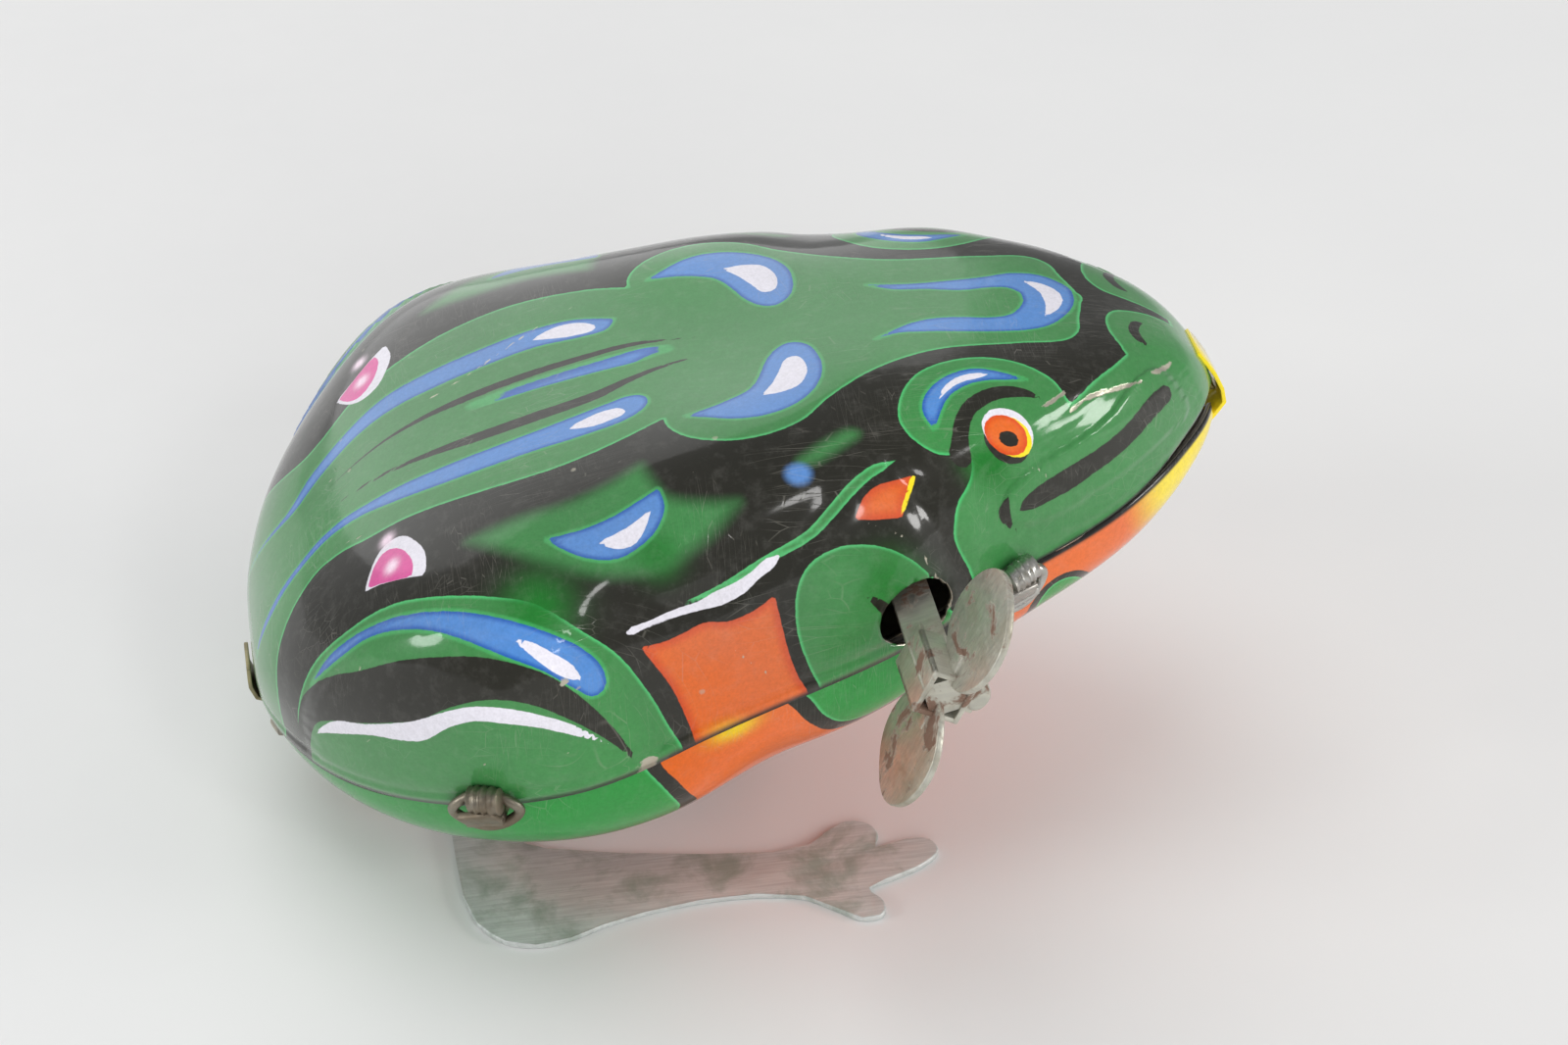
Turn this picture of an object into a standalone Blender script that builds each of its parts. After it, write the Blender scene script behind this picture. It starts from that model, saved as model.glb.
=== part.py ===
"""Tin wind-up jumping frog: two pressed tin shells over a small spring-driven movement.

The frog stands on its leg plate with its nose up. World axes: +X towards the nose, +Y to the
frog's left, +Z up, origin under the middle of the leg plate's cross bar. Everything but the leg
plate is placed in the body frame, whose XY plane is the seam between the shells and whose origin
is the rear end of the seam. Sizes are written in millimetres times MM.
"""

import math

import bmesh
import bpy
import numpy as np
from mathutils import Matrix, Vector

MM = 0.001

# Overall sizes and stance
SHELL_LENGTH = 71.4 * MM
SHELL_WIDTH = 46.2 * MM
CREST_HEIGHT = 17.1 * MM
BELLY_DEPTH = 10.3 * MM
SHEET = 0.4 * MM
NOSE_UP = math.radians(13.6)
REAR_SEAM_HEIGHT = 10.0 * MM

# Clearances
SHEET_GAP = 0.3 * MM
RUNNING_FIT = 0.06 * MM

# Shell outlines, as shares of the length, the half width, the crest and the depth
SEAM_OUTLINE = [
    (1.0, 0.0), (0.982, 0.16), (0.943, 0.307), (0.88, 0.472), (0.756, 0.641), (0.606, 0.818),
    (0.424, 0.931), (0.289, 1.0), (0.137, 0.81), (0.042, 0.468), (0.0, 0.0),
]
CREST_LINE = [
    (0.0, 0.0), (0.02, 0.33), (0.06, 0.55), (0.12, 0.73), (0.21, 0.915), (0.32, 0.995),
    (0.42, 0.995), (0.5, 0.955), (0.56, 0.93), (0.64, 0.912), (0.72, 0.845), (0.8, 0.755),
    (0.87, 0.66), (0.93, 0.53), (0.965, 0.4), (0.99, 0.22), (1.0, 0.0),
]
BELLY_LINE = [
    (0.0, 0.0), (0.03, 0.38), (0.085, 0.62), (0.18, 0.86), (0.29, 1.0), (0.46, 1.0),
    (0.6, 0.86), (0.76, 0.72), (0.88, 0.58), (0.945, 0.42), (0.985, 0.2), (1.0, 0.0),
]
CROWN_SHARE = 0.46
UPPER_SECTION = 4.0
LOWER_SECTION = 3.8
SPOKES = 56
RINGS = 9
LIP_HEIGHT = 0.8 * MM
MOUTH_DROP = 0.7 * MM
MOUTH_START = 0.72
MOUTH_END = 0.8

# Pressed bumps: place along the length, across and up, reach, height, lean from vertical
BUMPS = [
    ((0.64, 18.5 * MM, 5.0 * MM), 6.5 * MM, 1.3 * MM, math.radians(75)),
    ((0.24, 21.0 * MM, 7.0 * MM), 8.0 * MM, 0.9 * MM, math.radians(60)),
    ((0.775, 12.7 * MM, 10.0 * MM), 4.5 * MM, 0.8 * MM, math.radians(45)),
]

# Movement frame
FRAME_HALF_GAP = 7.0 * MM
FRAME_PLATE = 0.6 * MM
PILLAR_RADIUS = 0.8 * MM
PIN_END = 0.3 * MM

# Winding shaft and key
ARBOR_X = 0.642 * SHELL_LENGTH
ARBOR_Z = 2.9 * MM
ARBOR_RADIUS = 1.3 * MM
ARBOR_SQUARE = 2 * ARBOR_RADIUS
KEY_HOLE_RADIUS = ARBOR_RADIUS + 1.4 * MM
KEY_STAND_OFF = 5.4 * MM
KEY_SLEEVE_LENGTH = 5.2 * MM
KEY_SHEET = 0.55 * MM
KEY_LOBE_RADIUS = 4.2 * MM
KEY_LOBE_REACH = 5.0 * MM
KEY_LOBE_BACK = 1.0 * MM
KEY_TURN = math.radians(-50)

# Gear train
MODULE = 0.45 * MM
WHEEL_TEETH = 36
PINION_TEETH = 9
WHEEL_INNER_Y = 2.8 * MM - FRAME_HALF_GAP
WHEEL_THICK = 0.8 * MM
TRAIN_LEAN = math.radians(207.3)
BACKLASH = 0.12 * MM
RATCHET_TEETH = 12
RATCHET_RADIUS = ARBOR_RADIUS + 1.9 * MM
RATCHET_DEPTH = 0.7 * MM
RATCHET_THICK = 0.6 * MM
CLICK_RIVET_RADIUS = 0.6 * MM
CLICK_PIVOT_RADIUS = RATCHET_RADIUS + 3.0 * MM
CAM_SHAFT_RADIUS = 0.8 * MM
CAM_LOW = 1.8 * MM
CAM_HIGH = 4.2 * MM
CAM_THICK = 0.8 * MM

# Mainspring
SPRING_WIDTH = 2 * FRAME_HALF_GAP - 8.0 * MM
SPRING_STRIP = 0.3 * MM
SPRING_OUTER = 8.0 * MM
SPRING_TURNS = 6

# Legs
HINGE_X = 0.183 * SHELL_LENGTH
HINGE_Z = -3.0 * MM
HINGE_RADIUS = 0.8 * MM
LEG_SHEET = 0.5 * MM
EAR_INNER_Y = FRAME_HALF_GAP - 1.4 * MM
EAR_RADIUS = 2.2 * MM
CROSS_BAR_WIDTH = 4.4 * MM
CROSS_BAR_BACK = 0.7 * MM
ARM_WIDTH = 1.8 * MM
# One leg seen from above: forward of the cross bar's rear edge, and out from the middle
LEG_OUTLINE = [
    (0.0, 0.0), (-0.1, 12.0), (0.0, 15.2), (0.7, 18.4), (2.3, 20.5), (4.4, 21.3), (6.8, 21.0),
    (9.3, 20.0), (12.3, 19.2), (16.3, 18.6), (20.3, 18.6), (23.5, 19.4), (25.4, 21.0),
    (27.1, 22.4), (28.4, 22.3), (28.7, 21.0), (28.0, 19.4), (29.8, 18.4), (32.3, 17.3),
    (33.7, 16.1), (33.4, 14.8), (31.8, 14.5), (29.4, 15.1), (29.8, 13.5), (29.4, 12.4),
    (28.0, 11.9), (26.5, 12.7), (24.9, 13.9), (22.0, 14.3), (17.3, 13.7), (11.3, 12.5),
    (6.3, 11.1), (4.9, 10.3), (4.4, 9.0), (4.4, 0.0),
]

# Belly opening and seam clips
OPENING_BEHIND_HINGE = 4.0 * MM
OPENING_LENGTH = 22.0 * MM
OPENING_HALF_WIDTH = 8.5 * MM
CLIP_PLACES = {"rear": 0.209, "front": 0.735}
LUG_WIDTH = 2.8 * MM
LUG_SHEET = 0.6 * MM
KNOB_RADIUS = 0.95 * MM
KNOB_DROP = 1.3 * MM
RING_LONG = 2.3 * MM
RING_SHORT = 1.25 * MM
RING_WIRE = 0.36 * MM
RING_STAND_OFF = 0.8 * MM
TAB_WIDTH = 3.4 * MM

# Finishes: colour, roughness, metallic
PAINTED_TOP = ((0.07, 0.25, 0.1), 0.25, 0.0)
PAINTED_BELLY = ((0.72, 0.2, 0.05), 0.25, 0.0)
BARE_STEEL = ((0.55, 0.55, 0.52), 0.38, 1.0)
SPRING_STEEL = ((0.25, 0.27, 0.32), 0.3, 1.0)
BRASS = ((0.72, 0.55, 0.24), 0.35, 1.0)


for leftover in list(bpy.data.objects):
    bpy.data.objects.remove(leftover, do_unlink=True)
parts = bpy.data.collections.new("tin_jumping_frog")
cutters = bpy.data.collections.new("cutters")
bpy.context.scene.collection.children.link(parts)
bpy.context.scene.collection.children.link(cutters)

body = bpy.data.objects.new("body_frame", None)
parts.objects.link(body)
hinge_forward = HINGE_X * math.cos(NOSE_UP) - HINGE_Z * math.sin(NOSE_UP)
BAR_REAR = hinge_forward - CROSS_BAR_BACK
body.location = (-(BAR_REAR + CROSS_BAR_WIDTH / 2), 0, REAR_SEAM_HEIGHT)
body.rotation_euler = (0, -NOSE_UP, 0)


# ---------------------------------------------------------------- helpers
def spline(places, values):
    """A smooth curve through the points, flat at neither end."""
    places, values = np.array(places, float), np.array(values, float)
    step = np.diff(places)
    rise = np.diff(values) / step
    slope = np.zeros(len(places))
    slope[1:-1] = (rise[:-1] * step[1:] + rise[1:] * step[:-1]) / (step[:-1] + step[1:])

    def at(place):
        place = min(max(place, places[0]), places[-1])
        i = int(min(max(np.searchsorted(places, place, side="right") - 1, 0), len(step) - 1))
        s = (place - places[i]) / step[i]
        low = (1 + 2 * s) * (1 - s) ** 2 * values[i] + s * (1 - s) ** 2 * step[i] * slope[i]
        high = s * s * (3 - 2 * s) * values[i + 1] + s * s * (s - 1) * step[i] * slope[i + 1]
        return float(low + high)

    return at


def finish(obj, name, finish_values, parent=body, collection=parts):
    """Names the object, gives it its own material and its parent, and shades it smooth."""
    colour, roughness, metallic = finish_values
    material = bpy.data.materials.new(name)
    material.use_nodes = True
    shader = material.node_tree.nodes["Principled BSDF"]
    shader.inputs["Base Color"].default_value = (*colour, 1)
    shader.inputs["Roughness"].default_value = roughness
    shader.inputs["Metallic"].default_value = metallic
    obj.name = name
    obj.data.name = name
    obj.data.materials.clear()
    obj.data.materials.append(material)
    obj.parent = parent
    collection.objects.link(obj)
    if obj.type == "MESH":
        obj.data.shade_smooth()
        obj.data.set_sharp_from_angle(angle=math.radians(35))
    return obj


def helper(obj, name, parent=body):
    """A cutter or a joined shape, which is left out of the model itself."""
    obj.name = name
    obj.parent = parent
    cutters.objects.link(obj)
    obj.hide_render = True
    obj.display_type = "WIRE"
    return obj


def mesh_object(bm, name):
    bmesh.ops.recalc_face_normals(bm, faces=bm.faces)
    mesh = bpy.data.meshes.new(name)
    bm.to_mesh(mesh)
    bm.free()
    return bpy.data.objects.new(name, mesh)


def box(name, low, high):
    bm = bmesh.new()
    bmesh.ops.create_cube(bm, size=1)
    size = Vector(high) - Vector(low)
    bmesh.ops.scale(bm, vec=size, verts=bm.verts)
    bmesh.ops.translate(bm, vec=(Vector(high) + Vector(low)) / 2, verts=bm.verts)
    return mesh_object(bm, name)


def rod(name, radius, low_y, high_y, segments=24):
    """A round bar along Y through the object's own origin."""
    bm = bmesh.new()
    bmesh.ops.create_cone(
        bm, cap_ends=True, segments=segments, radius1=radius, radius2=radius, depth=high_y - low_y
    )
    bmesh.ops.rotate(bm, matrix=Matrix.Rotation(math.pi / 2, 3, "X"), verts=bm.verts)
    bmesh.ops.translate(bm, vec=(0, (high_y + low_y) / 2, 0), verts=bm.verts)
    return mesh_object(bm, name)


def sheet(name, outlines, low, high, upright=True):
    """Closed flat outlines (the first one outside, holes after it) given their thickness.

    Upright sheets lie in XZ between y = low and high, flat ones in XY between z = low and high.
    """
    curve = bpy.data.curves.new(name, "CURVE")
    curve.dimensions = "2D"
    curve.fill_mode = "BOTH"
    curve.extrude = (high - low) / 2
    for outline in outlines:
        line = curve.splines.new("POLY")
        line.points.add(len(outline) - 1)
        for point, (u, v) in zip(line.points, outline):
            point.co = (u, v, 0, 1)
        line.use_cyclic_u = True
    obj = bpy.data.objects.new(name, curve)
    if upright:
        place = Matrix.Translation((0, (low + high) / 2, 0)) @ Matrix.Rotation(math.pi / 2, 4, "X")
    else:
        place = Matrix.Translation((0, 0, (low + high) / 2))
    return solid_mesh(obj, name, place)


def solid_mesh(curve_object, name, place):
    """The curve object's evaluated mesh, welded and moved to its place."""
    bpy.context.scene.collection.objects.link(curve_object)
    bpy.context.view_layer.update()
    graph = bpy.context.evaluated_depsgraph_get()
    mesh = bpy.data.meshes.new_from_object(curve_object.evaluated_get(graph))
    bpy.data.objects.remove(curve_object, do_unlink=True)
    bm = bmesh.new()
    bm.from_mesh(mesh)
    bmesh.ops.remove_doubles(bm, verts=bm.verts, dist=0.001 * MM)
    bmesh.ops.transform(bm, matrix=place, verts=bm.verts)
    return mesh_object(bm, name)


def wire(name, points, radius, cyclic=False):
    """A round wire through the points."""
    curve = bpy.data.curves.new(name, "CURVE")
    curve.dimensions = "3D"
    curve.bevel_depth = radius
    curve.bevel_resolution = 2
    curve.use_fill_caps = not cyclic
    line = curve.splines.new("POLY")
    line.points.add(len(points) - 1)
    for point, place in zip(line.points, points):
        point.co = (*place, 1)
    line.use_cyclic_u = cyclic
    return solid_mesh(bpy.data.objects.new(name, curve), name, Matrix.Identity(4))


def circle(radius, segments=24, centre=(0, 0)):
    turns = [2 * math.pi * i / segments for i in range(segments)]
    return [(centre[0] + radius * math.cos(a), centre[1] + radius * math.sin(a)) for a in turns]


def boolean(obj, other, operation="DIFFERENCE"):
    modifier = obj.modifiers.new(other.name, "BOOLEAN")
    modifier.operation = operation
    modifier.solver = "EXACT"
    modifier.object = other


def at(obj, x, z, y=0.0):
    obj.location = (x, y, z)
    return obj


# ---------------------------------------------------------------- shell shape
crown_x = CROWN_SHARE * SHELL_LENGTH
half_width = SHELL_WIDTH / 2
seam_points = [(x * SHELL_LENGTH - crown_x, y * half_width) for x, y in SEAM_OUTLINE]
seam_reach = spline([math.atan2(y, x) for x, y in seam_points], [math.hypot(x, y) for x, y in seam_points])


def seam_point(angle, inset=0.0):
    """A point of the seam outline, from its direction seen from the crown."""
    reach = seam_reach(abs(angle)) - inset
    return Vector((crown_x + reach * math.cos(angle), reach * math.sin(angle), 0))


outline_samples = [seam_point(math.pi * i / 720) for i in range(721)]
sample_x = [p.x for p in reversed(outline_samples)]
sample_y = [p.y for p in reversed(outline_samples)]


def seam_half_width(x):
    return float(np.interp(x, sample_x, sample_y))


def end_to_end(line, height):
    """A profile along the length, spaced by the arc of a half circle so that its ends are round."""
    curve = spline([math.acos(1 - 2 * x) for x, _ in line], [z * height for _, z in line])
    return lambda x: curve(math.acos(min(max(1 - 2 * x / SHELL_LENGTH, -1), 1)))


crest = end_to_end(CREST_LINE, CREST_HEIGHT)
belly = end_to_end(BELLY_LINE, BELLY_DEPTH)

section_turns = np.linspace(0, math.pi / 2, 400)


def ring_share(share, power):
    """How far out a ring lies in plan, so that the rings are evenly spaced over a wall."""
    out = np.sin(section_turns) ** (2 / power) * half_width
    down = np.cos(section_turns) ** (2 / power) * CREST_HEIGHT
    run = np.concatenate([[0], np.cumsum(np.hypot(np.diff(out), np.diff(down)))])
    return math.sin(np.interp(share * run[-1], run, section_turns)) ** (2 / power)


def die_point(angle, share, profile, power, inset):
    """A point of the pressed surface above (or, with the belly profile, below) the seam."""
    out = ring_share(share, power)
    reach = out * (seam_reach(abs(angle)) - inset)
    x = crown_x + reach * math.cos(angle)
    y = reach * math.sin(angle)
    across = min(abs(y) / max(seam_half_width(x) - inset, 1e-9), 0.75 + 0.25 * out)
    height = profile(x) * (1 - across**power) ** (1 / power) if share < 1 else 0
    return Vector((x, y, height))


def with_bumps(point):
    side = math.copysign(1, point.y)
    moved = point.copy()
    for (along, out, up), reach, amount, lean in BUMPS:
        centre = Vector((along * SHELL_LENGTH, side * out, up))
        swell = amount * math.exp(-(((point - centre).length / reach) ** 2))
        swell *= min(point.z / (2 * MM), 1)
        moved += swell * Vector((0, side * math.sin(lean), math.cos(lean)))
    return moved


def half_ball(sign):
    """Half of a ball, its pole on the crown's side, ready to be pressed to shape."""
    bm = bmesh.new()
    bmesh.ops.create_uvsphere(bm, u_segments=SPOKES, v_segments=2 * RINGS, radius=1)
    beyond = [v for v in bm.verts if v.co.z * sign < -1e-4]
    bmesh.ops.delete(bm, geom=beyond, context="VERTS")
    return bm


def press(bm, shape):
    for vert in bm.verts:
        level = math.hypot(vert.co.x, vert.co.y)
        share = math.atan2(level, abs(vert.co.z)) / (math.pi / 2)
        vert.co = shape(math.atan2(vert.co.y, vert.co.x), min(share, 1))


def shell(name, bm, paint):
    for face in bm.faces:
        face.normal_update()
    obj = mesh_object(bm, name)
    solidify = obj.modifiers.new("sheet", "SOLIDIFY")
    solidify.thickness = SHEET
    solidify.offset = -1
    return finish(obj, name, paint)


def upper_shell():
    bm = half_ball(1)
    press(bm, lambda angle, share: with_bumps(die_point(angle, share, crest, UPPER_SECTION, 0)))
    obj = shell("upper_shell", bm, PAINTED_TOP)
    hole = helper(rod("key_hole", KEY_HOLE_RADIUS, -half_width - 9 * MM, -0.45 * half_width), "key_hole")
    at(hole, ARBOR_X, ARBOR_Z)
    boolean(obj, hole)
    return obj


def mouth(x):
    """0 behind the mouth, 1 along it."""
    share = (x / SHELL_LENGTH - MOUTH_START) / (MOUTH_END - MOUTH_START)
    return min(max(share, 0), 1)


def lower_shell():
    inset = SHEET + SHEET_GAP
    bm = half_ball(-1)

    def shape(angle, share):
        point = die_point(angle, share, belly, LOWER_SECTION, inset)
        point.z = -point.z - MOUTH_DROP * mouth(point.x) * share**4
        return point

    press(bm, shape)
    rim = [e for e in bm.edges if e.is_boundary]
    lip = bmesh.ops.extrude_edge_only(bm, edges=rim)["geom"]
    for vert in lip:
        if isinstance(vert, bmesh.types.BMVert):
            vert.co.z += LIP_HEIGHT * (1 - 0.75 * mouth(vert.co.x))
    obj = shell("lower_shell", bm, PAINTED_BELLY)
    start = HINGE_X - OPENING_BEHIND_HINGE
    opening = box(
        "belly_opening",
        (start, -OPENING_HALF_WIDTH, -2 * BELLY_DEPTH),
        (start + OPENING_LENGTH, OPENING_HALF_WIDTH, HINGE_Z - EAR_RADIUS),
    )
    boolean(obj, helper(opening, "belly_opening"))
    for end, outer in (("nose", SHELL_LENGTH), ("rear", 0.0)):
        boolean(obj, helper(end_tab(end, outer, inset), end + "_tab"), "UNION")
    return obj


def end_x(way, height):
    """Where the crest line reaches the height at one end."""
    near, far = (SHELL_LENGTH, 0.8 * SHELL_LENGTH) if way > 0 else (0.0, 0.2 * SHELL_LENGTH)
    for _ in range(40):
        middle = (near + far) / 2
        if crest(middle) < height:
            near = middle
        else:
            far = middle
    return near


def end_tab(end, outer, inset):
    """A tongue of the lower sheet that folds up over the end of the upper shell."""
    way = 1 if outer else -1
    root = outer - way * (inset + 0.75 * SHEET)
    gap = way * SHEET_GAP
    tall = 4.4 * MM if outer else 1.8 * MM
    path = [(root, -1.3 * MM), (root + way * 0.5 * MM, -0.9 * MM), (outer + gap, -0.6 * MM)]
    path += [(end_x(way, share * tall) + gap, share * tall) for share in (0.1, 0.4, 0.7, 1.0)]
    thick = way * SHEET
    outline = path + [(x + thick, z - 0.1 * MM) for x, z in reversed(path)]
    return sheet(end + "_tab", [outline], -TAB_WIDTH / 2, TAB_WIDTH / 2)


# ---------------------------------------------------------------- seam clips
def clip_frame(place, side):
    """The seam point at a clip and the turn that points +Y out of the seam there."""
    x = CLIP_PLACES[place] * SHELL_LENGTH
    point = Vector((x, side * seam_half_width(x), 0))
    run = 0.5 * MM
    slope = (seam_half_width(x + run) - seam_half_width(x - run)) / (2 * run)
    return point, math.atan(slope)


def clip_matrix(place, side):
    point, lean = clip_frame(place, side)
    turn = lean if side > 0 else math.pi - lean
    return Matrix.Translation(point) @ Matrix.Rotation(turn, 4, "Z")


def seam_lug(place, side, name):
    """Bracket on the frame plate: its arm leaves through the seam and is curled over outside."""
    matrix = clip_matrix(place, side) @ Matrix.Rotation(math.pi / 2, 4, "Z")
    half, thick = LUG_WIDTH / 2, LUG_SHEET / 2
    curl = RING_STAND_OFF + RING_WIRE + SHEET_GAP
    knob = Vector((curl + KNOB_RADIUS, KNOB_RADIUS - thick))
    lip = curl + 0.5 * KNOB_RADIUS
    joins = math.asin((knob.y - thick) / KNOB_RADIUS)
    outline = [(-3 * MM, thick), (-3 * MM, -thick), (lip, -thick), (lip, -KNOB_DROP)]
    outline.append((lip + LUG_SHEET, -KNOB_DROP))
    for turn in np.linspace(math.radians(-80), math.pi + joins, 14):
        outline.append((knob.x + KNOB_RADIUS * math.cos(turn), knob.y + KNOB_RADIUS * math.sin(turn)))
    arm = sheet(name, [outline], -half, half)
    arm.data.transform(matrix)
    foot_y = FRAME_HALF_GAP + FRAME_PLATE + SHEET_GAP
    x = clip_frame(place, side)[0].x
    reach = seam_half_width(x) - 2 * MM
    inner = thick - 0.05 * MM
    bracket = [(foot_y, -inner), (reach, -inner), (reach, inner), (foot_y + LUG_SHEET, inner)]
    bracket += [(foot_y + LUG_SHEET, 3 * MM), (foot_y, 3 * MM)]
    foot = sheet("foot", [bracket], -half + 0.1 * MM, half - 0.1 * MM)
    foot.data.transform(Matrix.Translation((x, 0, 0)) @ Matrix.Rotation(side * math.pi / 2, 4, "Z"))
    finish(arm, name, BARE_STEEL)
    boolean(arm, helper(foot, name + "_foot"), "UNION")
    return arm


def seam_ring(place, side, name):
    """An oval wire ring round the lug, just outside the seam."""
    matrix = clip_matrix(place, side)
    points = []
    for i in range(20):
        turn = 2 * math.pi * i / 20
        points.append(
            matrix @ Vector((RING_LONG * math.cos(turn), RING_STAND_OFF, RING_SHORT * math.sin(turn)))
        )
    return finish(wire(name, points, RING_WIRE, cyclic=True), name, BARE_STEEL)


def seam_slots(upper, lower):
    """Notches in both rims for the lugs."""
    half = LUG_WIDTH / 2 + SHEET_GAP
    gap = LUG_SHEET / 2 + SHEET_GAP
    for place in CLIP_PLACES:
        for side, word in ((-1, "right"), (1, "left")):
            for obj, low, high in ((upper, -2 * MM, gap), (lower, -gap, 3 * MM)):
                slot = box("slot", (-half, -2.2 * MM, low), (half, 4 * MM, high))
                slot.data.transform(clip_matrix(place, side))
                boolean(obj, helper(slot, "slot_" + place + "_" + word + "_" + obj.name))


# ---------------------------------------------------------------- movement
train_distance = MODULE * (WHEEL_TEETH + PINION_TEETH) / 2
CAM_X = ARBOR_X + train_distance * math.cos(TRAIN_LEAN)
CAM_Z = ARBOR_Z + train_distance * math.sin(TRAIN_LEAN)
KEY_INNER_Y = -(seam_half_width(ARBOR_X) + KEY_STAND_OFF)
WHEEL_OUTER_Y = WHEEL_INNER_Y - WHEEL_THICK
PLATE_OUTER_Y = FRAME_HALF_GAP + FRAME_PLATE
PILLARS = {
    "pillar_rear": (HINGE_X + 6.5 * MM, HINGE_Z + 7.8 * MM),
    "pillar_belly": (HINGE_X + 14.0 * MM, HINGE_Z - 3.0 * MM),
    "pillar_front": (ARBOR_X + 7.7 * MM, ARBOR_Z - 6.3 * MM),
}


def plate_outline():
    """The movement plate: its rear follows the hinge, its front follows the winding shaft."""
    rear = [(-2.0, 3.5), (-3.4, -1.6), (-1.5, -3.2), (7.0, -4.4), (14.0, -4.9), (18.0, -4.8)]
    front = [(-2.0, -9.9), (8.2, -8.4), (10.6, -6.0), (10.8, 0.0), (7.2, 5.1), (2.2, 6.5), (-5.8, 6.5)]
    top = [(11.0, 11.2), (4.0, 10.2)]
    outline = [(HINGE_X + x * MM, HINGE_Z + z * MM) for x, z in rear]
    outline += [(ARBOR_X + x * MM, ARBOR_Z + z * MM) for x, z in front]
    outline += [(HINGE_X + x * MM, HINGE_Z + z * MM) for x, z in top]
    return outline


def frame_plate(side, name):
    holes = [
        circle(HINGE_RADIUS + RUNNING_FIT, 24, (HINGE_X, HINGE_Z)),
        circle(ARBOR_RADIUS + RUNNING_FIT, 24, (ARBOR_X, ARBOR_Z)),
        circle(CAM_SHAFT_RADIUS + RUNNING_FIT, 24, (CAM_X, CAM_Z)),
    ]
    holes += [circle(PILLAR_RADIUS + RUNNING_FIT, 24, place) for place in PILLARS.values()]
    low, high = sorted((side * FRAME_HALF_GAP, side * PLATE_OUTER_Y))
    return finish(sheet(name, [plate_outline(), *holes], low, high), name, BARE_STEEL)


def gear_outline(teeth, module, turn=0.0, thin=0.0):
    """Trapezoid teeth: root, flank up, tip, flank down."""
    pitch = module * teeth / 2
    outer = pitch + 0.9 * module
    root = pitch - 1.15 * module
    at_tip = (0.36 * module - thin / 2) / outer
    at_root = (1.0 * module - thin / 2) / root
    points = []
    for i in range(teeth):
        middle = turn + 2 * math.pi * i / teeth
        for radius, away in ((root, -at_root), (outer, -at_tip), (outer, at_tip), (root, at_root)):
            points.append((radius * math.cos(middle + away), radius * math.sin(middle + away)))
    return points


def ratchet_outline():
    points = []
    for i in range(RATCHET_TEETH):
        start = 2 * math.pi * i / RATCHET_TEETH
        for radius, away in ((RATCHET_RADIUS, 0.0), (RATCHET_RADIUS - RATCHET_DEPTH, 0.06)):
            points.append((radius * math.cos(start + away), radius * math.sin(start + away)))
    return points


def cam_outline():
    """Two snail lobes: a slow rise, then a sudden drop that lets the legs snap back."""
    points = []
    for lobe in (0, math.pi):
        for i in range(17):
            share = i / 16
            radius = CAM_LOW + (CAM_HIGH - CAM_LOW) * share
            turn = lobe + 0.96 * math.pi * share
            points.append((radius * math.cos(turn), radius * math.sin(turn)))
    return points


def winding_arbor():
    key_end = KEY_INNER_Y - KEY_SLEEVE_LENGTH + 0.4 * MM
    square_from = -(PLATE_OUTER_Y + 0.5 * MM)
    half = ARBOR_SQUARE / 2
    arbor = rod("winding_arbor", ARBOR_RADIUS, square_from - 0.2 * MM, PLATE_OUTER_Y + PIN_END)
    finish(at(arbor, ARBOR_X, ARBOR_Z), "winding_arbor", BARE_STEEL)
    square = box("arbor_square", (-half, key_end, -half), (half, square_from, half))
    boolean(arbor, helper(at(square, ARBOR_X, ARBOR_Z), "arbor_square"), "UNION")


def winding_key():
    """Two round lobes in one plane with the shaft, on a square sleeve."""
    near = KEY_INNER_Y
    far = near - KEY_SLEEVE_LENGTH
    bore = ARBOR_SQUARE / 2 + RUNNING_FIT
    outer = bore + KEY_SHEET
    key = box("winding_key", (-outer, far, -outer), (outer, near, outer))
    finish(at(key, ARBOR_X, ARBOR_Z), "winding_key", BARE_STEEL)
    middle = far + KEY_LOBE_BACK
    lobe_side = KEY_SHEET / 2
    for index, way in enumerate((-1, 1)):
        centre = (way * KEY_LOBE_REACH, middle)
        lobe = sheet("lobe", [circle(KEY_LOBE_RADIUS, 32, centre)], -lobe_side, lobe_side, upright=False)
        lobe.data.transform(Matrix.Rotation(KEY_TURN, 4, "Y"))
        boolean(key, helper(at(lobe, ARBOR_X, ARBOR_Z), "key_lobe_" + "ab"[index]), "UNION")
    hole = box("key_bore", (-bore, far - 1 * MM, -bore), (bore, near + 9 * MM, bore))
    boolean(key, helper(at(hole, ARBOR_X, ARBOR_Z), "key_bore"))


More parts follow.
